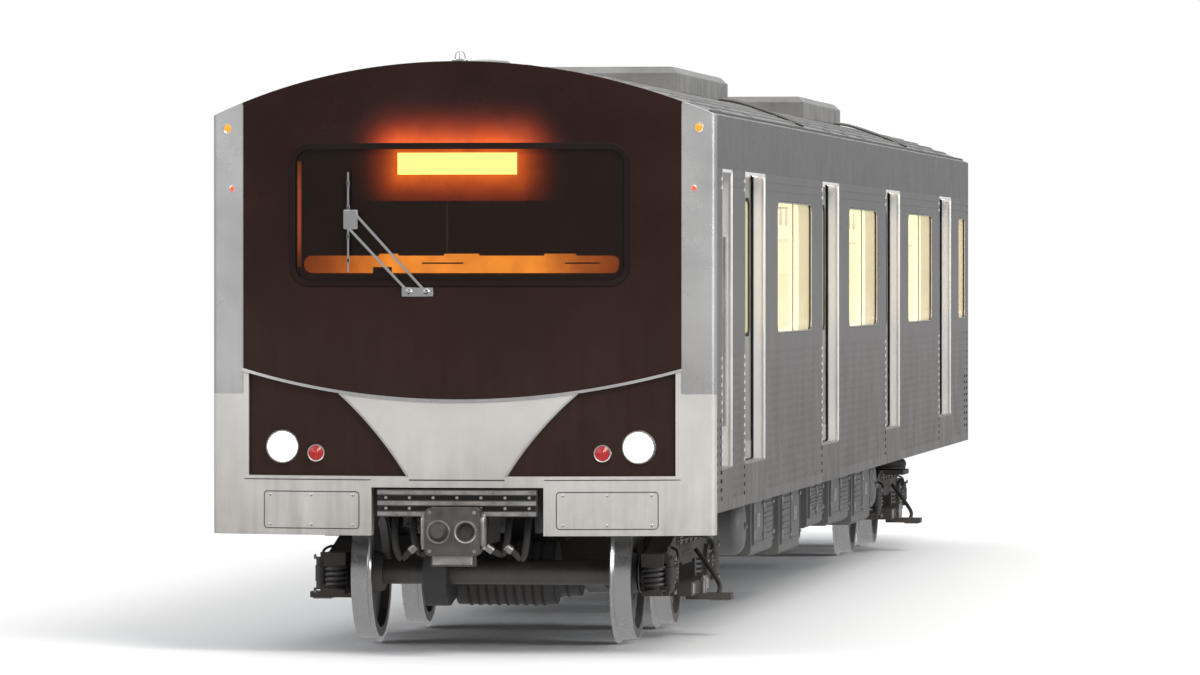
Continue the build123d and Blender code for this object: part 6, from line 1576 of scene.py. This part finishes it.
def make_coupler_gear():
    """Hoses, hooks, cable box lid and bolts of the front coupler, and the rear drawbar's jumpers."""
    metal, hoses = new_meshes(2)
    head_y = -10.83
    for x in (-0.14, 0.14):
        for z in (0.67, 0.91):
            turned(metal, [(0.013, -0.001), (0.013, 0.004), (0.0, 0.005)], (x, head_y + 0.001, z), FRONT, 6)
    cone = [(0.058, 0.004), (0.062, -0.001), (0.07, -0.003), (0.074, 0.003), (0.058, 0.004)]
    cup = [(0.058, 0.004), (0.064, -0.001), (0.072, -0.002), (0.076, 0.003), (0.058, 0.004)]
    turned(metal, cone, (0.085, head_y, 0.79), BACK, 32)
    turned(metal, cup, (-0.085, head_y, 0.79), BACK, 32)
    add_box(metal, (-0.125, head_y + 0.02, 0.585), (0.125, head_y + 0.028, 0.655), 0.004)
    for k in range(5):
        stud(metal, (-0.10 + 0.05 * k, head_y + 0.021, 0.645), FRONT, 0.006, 0.004, 0.005, 6)
    for side in (-1, 1):
        add_side_box(metal, side, (0.168, 0.20), (head_y + 0.03, head_y + 0.13), (0.70, 0.88), 0.01, 2)
        add_rod(
            metal, *mirrored(side, (0.184, head_y + 0.08, 0.68), (0.184, head_y + 0.08, 0.90)), 0.018, 14,
        )
        for x, drop in ((0.30, 0.0), (0.42, 1.0)):
            top = (side * x, -10.30, 0.905 - 0.02 * drop)
            hose(hoses, [top, *mirrored(
                side, (x, -10.40, 0.84), (x - 0.01, -10.44, 0.72 - 0.03 * drop),
                (x - 0.04, -10.40, 0.64 - 0.03 * drop), (x - 0.10, -10.42, 0.66),
            )], 0.021, 10)
            turned(metal, [(0.032, 0.0), (0.032, 0.05), (0.024, 0.06), (0.0, 0.061)], top, (0, 0.4, 1), 16)
            add_rod(metal, *mirrored(side, (x - 0.10, -10.42, 0.66), (x - 0.14, -10.43, 0.69)), 0.027, 12)
        for x in (0.36, 0.52):
            hose(hoses, mirrored(
                side, (x, 10.53, 1.02), (x, 10.60, 0.94), (x - 0.03, 10.70, 0.80), (x - 0.09, 10.76, 0.70),
            ), 0.024, 10)
            socket = [(0.042, 0.0), (0.042, 0.03), (0.03, 0.045), (0.0, 0.046)]
            turned(metal, socket, (side * x, 10.525, 1.02), BACK, 16)
            add_rod(metal, *mirrored(side, (x - 0.09, 10.76, 0.70), (x - 0.12, 10.775, 0.66)), 0.03, 14)
    for z in (0.742, 0.834):
        eye = [(0.034, 0.0), (0.074, 0.0), (0.074, 0.004), (0.034, 0.004), (0.034, 0.0)]
        turned(metal, eye, (0, 10.8, z), UP, 32)
    piece("coupler_fittings", metal, "coupler_iron", WORN_EDGE)
    piece("coupler_hoses", hoses, "bellows_rubber")


for end_name, bogie_y in BOGIES:
    make_bogie_fittings(end_name, bogie_y)
for number, axle_y in enumerate(AXLES_Y, start=1):
    make_wheel_fittings(f"wheelset_{number}", axle_y)
make_equipment()
make_coupler_gear()

# Saloon and cab seen through the glass

BAYS = ((-7.2625, -3.2875), (-1.9875, 1.9875), (3.2875, 7.2625), (8.5625, 10.425))
BENCH_MARGIN, SCREEN_MARGIN = 0.11, 0.12
BENCH_FRONT_X = INNER_X - 0.445
WALL_X = INNER_X - 0.0005
# x and z along a seat's edge, from the front of the bench to the wall
SEAT_EDGE = (
    (BENCH_FRONT_X + 0.002, 1.560), (BENCH_FRONT_X + 0.003, 1.606), (BENCH_FRONT_X + 0.02, 1.612),
    (WALL_X - 0.10, 1.602), (WALL_X - 0.068, 1.625), (WALL_X - 0.042, 2.005),
)
SEAT_PITCH = 0.46
POLE_X = 0.93
RAIL_Z = 3.06
LIGHT_ROWS = [0.75 + (n - 3.5) * 2.11 for n in range(8)]
DESK_REAR_Y = -9.95
DESK_TOP_Z = 2.52
SEAT_CENTRE_Y = -9.42
SEAT_PAN_Z = 1.59
SEAT_LEAN = Vector((0, 0.05 / 0.64, 1)).normalized()
SEAT_AHEAD = Vector((0, -1, 0.05 / 0.64)).normalized()
BUTTON_CAP = finish(
    "button cap", (0.45, 0.12, 0.04), 0.0, 0.3, tone=0.15, tone_scale=30.0, grain_scale=300.0,
)


def make_draught_screen(side, y, glass, steel):
    """A glass screen at a bench end, held to its pole, with the pole's flanges and rail joint."""
    pane, edge = (
        [(side * a, b) for a, b in rounded_loop((POLE_X + near, low), (INNER_X - far, high), corner, 5)]
        for near, low, far, high, corner in (
            (0.045, 1.38, 0.03, 2.62, 0.05), (0.04, 1.375, 0.025, 2.625, 0.055),
        )
    )
    slab(glass, pane, across_car(y - 0.004), across_car(y + 0.004))
    trim(steel, across_car(y), edge, bar(-0.008, 0.008, -0.009, 0.009), BACK)
    for z in (1.5, 2.5):
        add_rod(steel, *mirrored(side, (POLE_X + 0.01, y, z), (POLE_X + 0.045, y, z)), 0.011, 10)
        add_rod(steel, *mirrored(side, (POLE_X, y, z - 0.02), (POLE_X, y, z + 0.02)), 0.0215, 16)
    foot = [(0.052, 0.0), (0.05, 0.006), (0.024, 0.009)]
    top = [(0.024, 0.0), (0.05, 0.004), (0.052, 0.0105)]
    for z, flange in ((1.161, foot), (3.318, top)):
        turned(steel, flange, (side * POLE_X, y, z), UP, 24)
    joint = [(0.0175, -0.03), (0.0225, -0.028), (0.0225, 0.028), (0.0175, 0.03)]
    turned(steel, joint, (side * POLE_X, y, RAIL_Z), UP, 20)


def make_bench_trims():
    """Edges between the moulded seats, heater grilles under them and draught screens at the bench ends."""
    shells, grilles, glass, steel = new_meshes(4)
    for side in (-1, 1):
        for y0, y1 in BAYS:
            first, last = y0 + BENCH_MARGIN, y1 - BENCH_MARGIN
            seats = int((last - first) / SEAT_PITCH)
            for n in range(seats + 1):
                y = min(max(first + n * (last - first) / seats, first + 0.008), last - 0.008)
                edge = [(side * x, z) for x, z in SEAT_EDGE]
                trim(shells, across_car(y), edge, bar(-0.006, 0.006, -0.006, 0.006), BACK, closed=False)
            for n in range(int((last - first) / 0.06)):
                y = first + 0.03 + 0.06 * n
                add_side_box(
                    grilles, side, (BENCH_FRONT_X + 0.187, BENCH_FRONT_X + 0.191), (y, y + 0.022),
                    (1.20, 1.42),
                )
            for y in (y0 + SCREEN_MARGIN, y1 - SCREEN_MARGIN):
                if abs(y) <= 9.7:
                    make_draught_screen(side, y, glass, steel)
    piece("bench_edges", shells, "bench_plastic")
    piece("heater_grilles", grilles, "bellows_rubber")
    piece("draught_screens", glass, "glass")
    piece("pole_fittings", steel, "pole_steel")


def make_strap_hangers():
    """Straps with triangular grips from the rails over the benches."""
    straps, grips = new_meshes(2)
    sleeve = [(0.0145, -0.017), (0.0175, -0.017), (0.0175, 0.017), (0.0145, 0.017)]
    corners = (
        (-0.012, 0.006), (-0.055, -0.085), (-0.048, -0.10), (0.048, -0.10), (0.055, -0.085), (0.012, 0.006),
    )
    for side in (-1, 1):
        x = side * POLE_X
        for y0, y1 in BAYS[:3]:
            for y, _ in between((y0 + 0.45, 0), (y1 - 0.45, 0), 7):
                turned(straps, sleeve, (x, y, RAIL_Z), BACK, 14)
                add_box(straps, (x - 0.003, y - 0.014, 2.86), (x + 0.003, y + 0.014, RAIL_Z - 0.015), 0.001)
                grip = [(y + a, 2.86 + b) for a, b in corners]
                trim(grips, on_side(x), grip, on_circle(6, 0.0065), RIGHT)
    piece("straps", straps, "bellows_rubber")
    piece("strap_grips", grips, "bench_plastic")


def make_ceiling_fittings():
    """Lamp bezels, air slots along the middle, panel seams and the covers of the door gear."""
    bezels, slots, covers = new_meshes(3)
    under = CEILING_UNDER_Z
    for side in (-1, 1):
        for y in LIGHT_ROWS:
            bezel = centred_loop((side * 0.43, y), (0.072, 0.957), 0.008, 2)
            trim(bezels, level(under - 0.008), bezel, bar(-0.006, 0.006, -0.013, 0.006), UP)
        for x in (0.12, 0.16, 0.70, 0.74):
            for n in range(18):
                y = -8.5 + 1.05 * n
                add_side_box(slots, side, span(x, 0.008), (y, y + 0.9), (under - 0.0012, under - 0.0002))
        for y in DOORS_Y:
            add_side_box(covers, side, (1.27, WALL_X), span(y, 0.68), (3.075, 3.325), 0.012, 2)
            for start in (y - 0.66, y + 0.02):
                seam = rounded_loop((start, 3.09), (start + 0.64, 3.31), 0.01, 3)
                trim(
                    slots, on_side(side * 1.2695), seam, bar(-0.001, 0.0012, -0.0015, 0.0015),
                    -RIGHT * side,
                )
    for n in range(9):
        y = -8.44 + 2.11 * n
        add_box(slots, (-1.42, y - 0.0015, under - 0.001), (1.42, y + 0.0015, under - 0.0002))
    piece("lamp_bezels_inside", bezels, "pole_steel")
    piece("ceiling_slots", slots, "bellows_rubber")
    piece("door_gear_covers", covers, "interior_panel")


def make_wall_trims():
    """Inside window surrounds, wall seams, skirting and ribbed door treads."""
    trims, treads, seams = new_meshes(3)
    seam_xs = (INNER_X - 0.0012, INNER_X - 0.0002)
    for side in (-1, 1):
        for y0, y1 in BAYS[:3]:
            middle = (y0 + y1) / 2
            rim = rounded_loop((middle - 1.215, 1.968), (middle + 1.215, 2.893), 0.105, 8)
            trim(
                trims, on_side(side * (INNER_X - 0.001)), rim, bar(-0.002, 0.012, -0.024, 0.024),
                -RIGHT * side,
            )
            for y in span(middle, 1.30):
                add_side_box(seams, side, seam_xs, span(y, 0.0015), (2.02, 3.32))
            add_side_box(seams, side, seam_xs, (y0 + 0.05, y1 - 0.05), (2.935, 2.938))
            add_side_box(
                treads, side, (INNER_X - 0.010, WALL_X), (y0 + 0.01, y1 - 0.01), (1.1585, 1.26), 0.003,
            )
        for y in DOORS_Y:
            add_side_box(
                treads, side, (INNER_X - 0.16, INNER_X - 0.001), span(y, 0.64), (1.158, 1.1615), 0.001,
            )
            for n in range(6):
                x = INNER_X - 0.145 + 0.025 * n
                add_side_box(treads, side, (x, x + 0.010), span(y, 0.63), (1.1615, 1.1635))
    piece("window_surrounds", trims, "interior_panel")
    piece("door_treads", treads, "pole_steel")
    piece("wall_seams", seams, "bellows_rubber")


def make_desk_fittings():
    """Displays, gauges, buttons, the two control levers and a microphone on the driver's desk."""
    housings, screens, steel, caps = new_meshes(4)
    slope = Matrix.Translation((0, -10.26, DESK_TOP_Z)) @ Matrix.Rotation(-math.atan2(0.15, 0.12), 4, "X")
    up = slope.to_3x3() @ UP
    for x in (-0.42, 0.40):
        add_box(housings, (x - 0.15, 0.02, -0.002), (x + 0.15, 0.175, 0.020), 0.006, 2, slope)
        add_box(screens, (x - 0.13, 0.035, 0.0195), (x + 0.13, 0.16, 0.0215), 0.0, 1, slope)
    for x in (-0.17, -0.05, 0.07, 0.19):
        centre = slope @ Vector((x, 0.09, 0))
        bezel = [(0.052, -0.002), (0.052, 0.012), (0.044, 0.014), (0.044, -0.002), (0.052, -0.002)]
        turned(steel, bezel, centre, up, 28)
        turned(screens, [(0.044, 0.0), (0.044, 0.006), (0.0, 0.006)], centre, up, 28)
    for row, z in enumerate((0.035, 0.075)):
        for n in range(7):
            spot = (-0.62 + 0.2 * n + 0.03 * row, DESK_REAR_Y - 0.14 + z, 2.375 - z * 0.37)
            turned(
                caps, [(0.014, -0.006), (0.014, 0.012), (0.011, 0.015), (0.0, 0.015)], spot, (0, 0.3, 1),
                12,
            )
    for x in (-0.33, 0.33):
        foot = Vector((x, DESK_REAR_Y - 0.09, 2.332))
        stem = [(0.045, 0.0), (0.045, 0.008), (0.018, 0.014), (0.010, 0.02), (0.009, 0.12), (0.0, 0.12)]
        turned(steel, stem, foot, (0, 0.1, 1), 20)
        knob = [(0.0, 0.0), (0.02, 0.004), (0.026, 0.02), (0.02, 0.042), (0.0, 0.048)]
        turned(housings, knob, foot + Vector((0, 0.012, 0.112)), (0, 0.1, 1), 20)
    microphone = (-0.72, -9.95, 2.585)
    hose(steel, [(-0.78, -10.05, 2.37), (-0.78, -10.04, 2.46), (-0.76, -10.0, 2.54), microphone], 0.006, 8)
    capsule = [(0.0, -0.01), (0.013, -0.004), (0.013, 0.03), (0.0, 0.036)]
    turned(housings, capsule, microphone, (0.5, 0.6, 0.35), 14)
    piece("desk_housings", housings, "desk_plastic")
    piece("desk_screens", screens, "sign")
    piece("desk_bezels", steel, "pole_steel")
    piece("desk_buttons", caps, "marker_lens", BUTTON_CAP)


def on_seat_back(depth):
    """Places (across, up) points on the leaning seat back, depth ahead of it."""
    base = Vector((0, SEAT_CENTRE_Y + 0.152, SEAT_PAN_Z + 0.08)) + SEAT_AHEAD * depth
    return lambda across, up: base + RIGHT * across + SEAT_LEAN * up


def make_drivers_seat():
    """Cushions with piped edges, a headrest, armrests and a rubber gaiter round the seat's pedestal."""
    cushions, piping, bars = new_meshes(3)
    y, z = SEAT_CENTRE_Y, SEAT_PAN_Z
    add_box(cushions, (-0.225, y - 0.235, z + 0.082), (0.225, y + 0.15, z + 0.135), 0.022, 3)
    for low, high, half, thick in ((0.14, 0.66, 0.225, 0.05), (0.735, 0.88, 0.14, 0.045)):
        outline = rounded_loop((-half, low), (half, high), 0.05, 5)
        slab(cushions, outline, on_seat_back(thick), on_seat_back(0.001))
        trim(piping, on_seat_back(thick), outline, on_circle(6, 0.006), SEAT_AHEAD)
    for x in (-0.07, 0.07):
        top = Vector((x, y + 0.23, z + 0.70))
        add_rod(bars, top, top + SEAT_LEAN * 0.13, 0.008, 10)
    pan = rounded_loop((-0.20, y - 0.21), (0.20, y + 0.13), 0.04, 4)
    trim(piping, level(z + 0.136), pan, on_circle(6, 0.005), UP)
    for side in (-1, 1):
        add_side_box(cushions, side, (0.262, 0.312), (y - 0.10, y + 0.16), (z + 0.27, z + 0.31), 0.015, 3)
        add_rod(bars, *mirrored(side, (0.255, y + 0.17, z + 0.28), (0.30, y + 0.14, z + 0.285)), 0.012, 10)
        add_rod(
            bars, *mirrored(side, (0.251, y + 0.205, z + 0.28), (0.290, y + 0.155, z + 0.28)), 0.012, 10,
        )
    gaiter = [(0.081, 1.19)]
    for fold_z in (1.20 + 0.038 * n for n in range(9)):
        gaiter += [(0.115, fold_z + 0.012), (0.115, fold_z + 0.02), (0.092, fold_z + 0.034)]
    turned(piping, [*gaiter, (0.081, 1.575)], (0, y, 0), UP, 28)
    piece("seat_cushions", cushions, "driver_seat_cover")
    piece("seat_piping", piping, "bellows_rubber")
    piece("seat_bars", bars, "pole_steel")


make_bench_trims()
make_strap_hangers()
make_ceiling_fittings()
make_wall_trims()
make_desk_fittings()
make_drivers_seat()

# Rear end: gangway frame, sockets, lining of the end wall

REAR_WALL_THICKNESS = 0.1
RIB_Y = 10.524


def make_rear_end():
    """The seal and tread of the end doorway, ribs, sockets, lamp blanks and steps on the end wall."""
    seals, steel, dark, lining = new_meshes(4)
    face = across_car(REAR_Y)
    for inset, depth in ((0.0, 0.05), (0.045, 0.085), (0.09, 0.12)):
        loop = rounded_loop((-0.40 - inset, 1.10 - inset), (0.40 + inset, 3.10 + inset), 0.06 + inset)
        trim(seals, face, loop, bar(-0.001, depth, -0.014, 0.014), BACK)
    add_box(steel, (-0.32, 10.482, 1.135), (0.32, 10.62, 1.152), 0.004)
    for n in range(9):
        x = -0.29 + 0.0725 * n
        add_box(steel, (x - 0.008, 10.49, 1.152), (x + 0.008, 10.61, 1.157))
    for side in (-1, 1):
        for x in (0.62, 0.92, 1.22):
            add_side_box(steel, side, span(x, 0.018), (RIB_Y, 10.537), (1.25, 3.2), 0.005, 2)
        add_rod(steel, *mirrored(side, (0.52, 10.58, 1.30), (0.52, 10.58, 2.55)), 0.015, 16)
        for z in (1.34, 1.92, 2.50):
            add_rod(steel, *mirrored(side, (0.52, RIB_Y, z), (0.52, 10.58, z)), 0.010, 10)
        for z in (1.30, 1.62):
            add_side_box(dark, side, (0.98, 1.16), (RIB_Y, 10.60), (z, z + 0.2), 0.015, 2)
            lid = [(0.06, 0.0), (0.06, 0.02), (0.05, 0.03), (0.0, 0.032)]
            turned(steel, lid, (side * 1.07, 10.60, z + 0.1), BACK, 28)
            add_side_box(steel, side, (0.985, 1.155), (10.602, 10.612), (z + 0.165, z + 0.19), 0.003)
        hose(seals, mirrored(
            side, (1.07, 10.62, 1.38), (1.05, 10.72, 1.20), (0.98, 10.77, 1.02), (0.86, 10.76, 0.95),
        ), 0.026, 12)
        for z in (1.15, 2.0, 2.85):
            for x in (0.77, 1.07, 1.37):
                stud(steel, face(side * x, z), BACK, 0.012, 0.004, 0.006, 8)
        blank = [(0.075, 0.0), (0.075, 0.010), (0.066, 0.014), (0.0, 0.014)]
        turned(dark, blank, face(side * 1.35, 1.30), BACK, 36)
        for z in (1.25, 1.7, 2.15, 2.6):
            step = mirrored(side, (1.30, RIB_Y, z), (1.30, 10.60, z), (1.50, 10.60, z), (1.50, RIB_Y, z))
            hose(steel, step, 0.011, 8)
    for z in (0.97, 1.02):
        add_box(dark, (-1.2, RIB_Y, z), (1.2, 10.53, z + 0.02), 0.003)
    sheet = rounded_loop((-INNER_X + 0.002, FLOOR_Z + 0.002), (INNER_X - 0.002, 3.325), 0.01, 4)
    doorway = rounded_loop((-0.345, FLOOR_Z + 0.004), (0.345, 3.062), 0.004, 4)
    inner_y = REAR_Y - REAR_WALL_THICKNESS
    ring_plate(lining, sheet, doorway, across_car(inner_y - 0.0035), across_car(inner_y - 0.0005))
    piece("rear_end_lining", lining, "interior_panel")
    piece("gangway_seals", seals, "bellows_rubber")
    piece("rear_end_steel", steel, "bright_stainless", LEAF_STEEL)
    piece("rear_end_boxes", dark, "frame_metal")


make_rear_end()
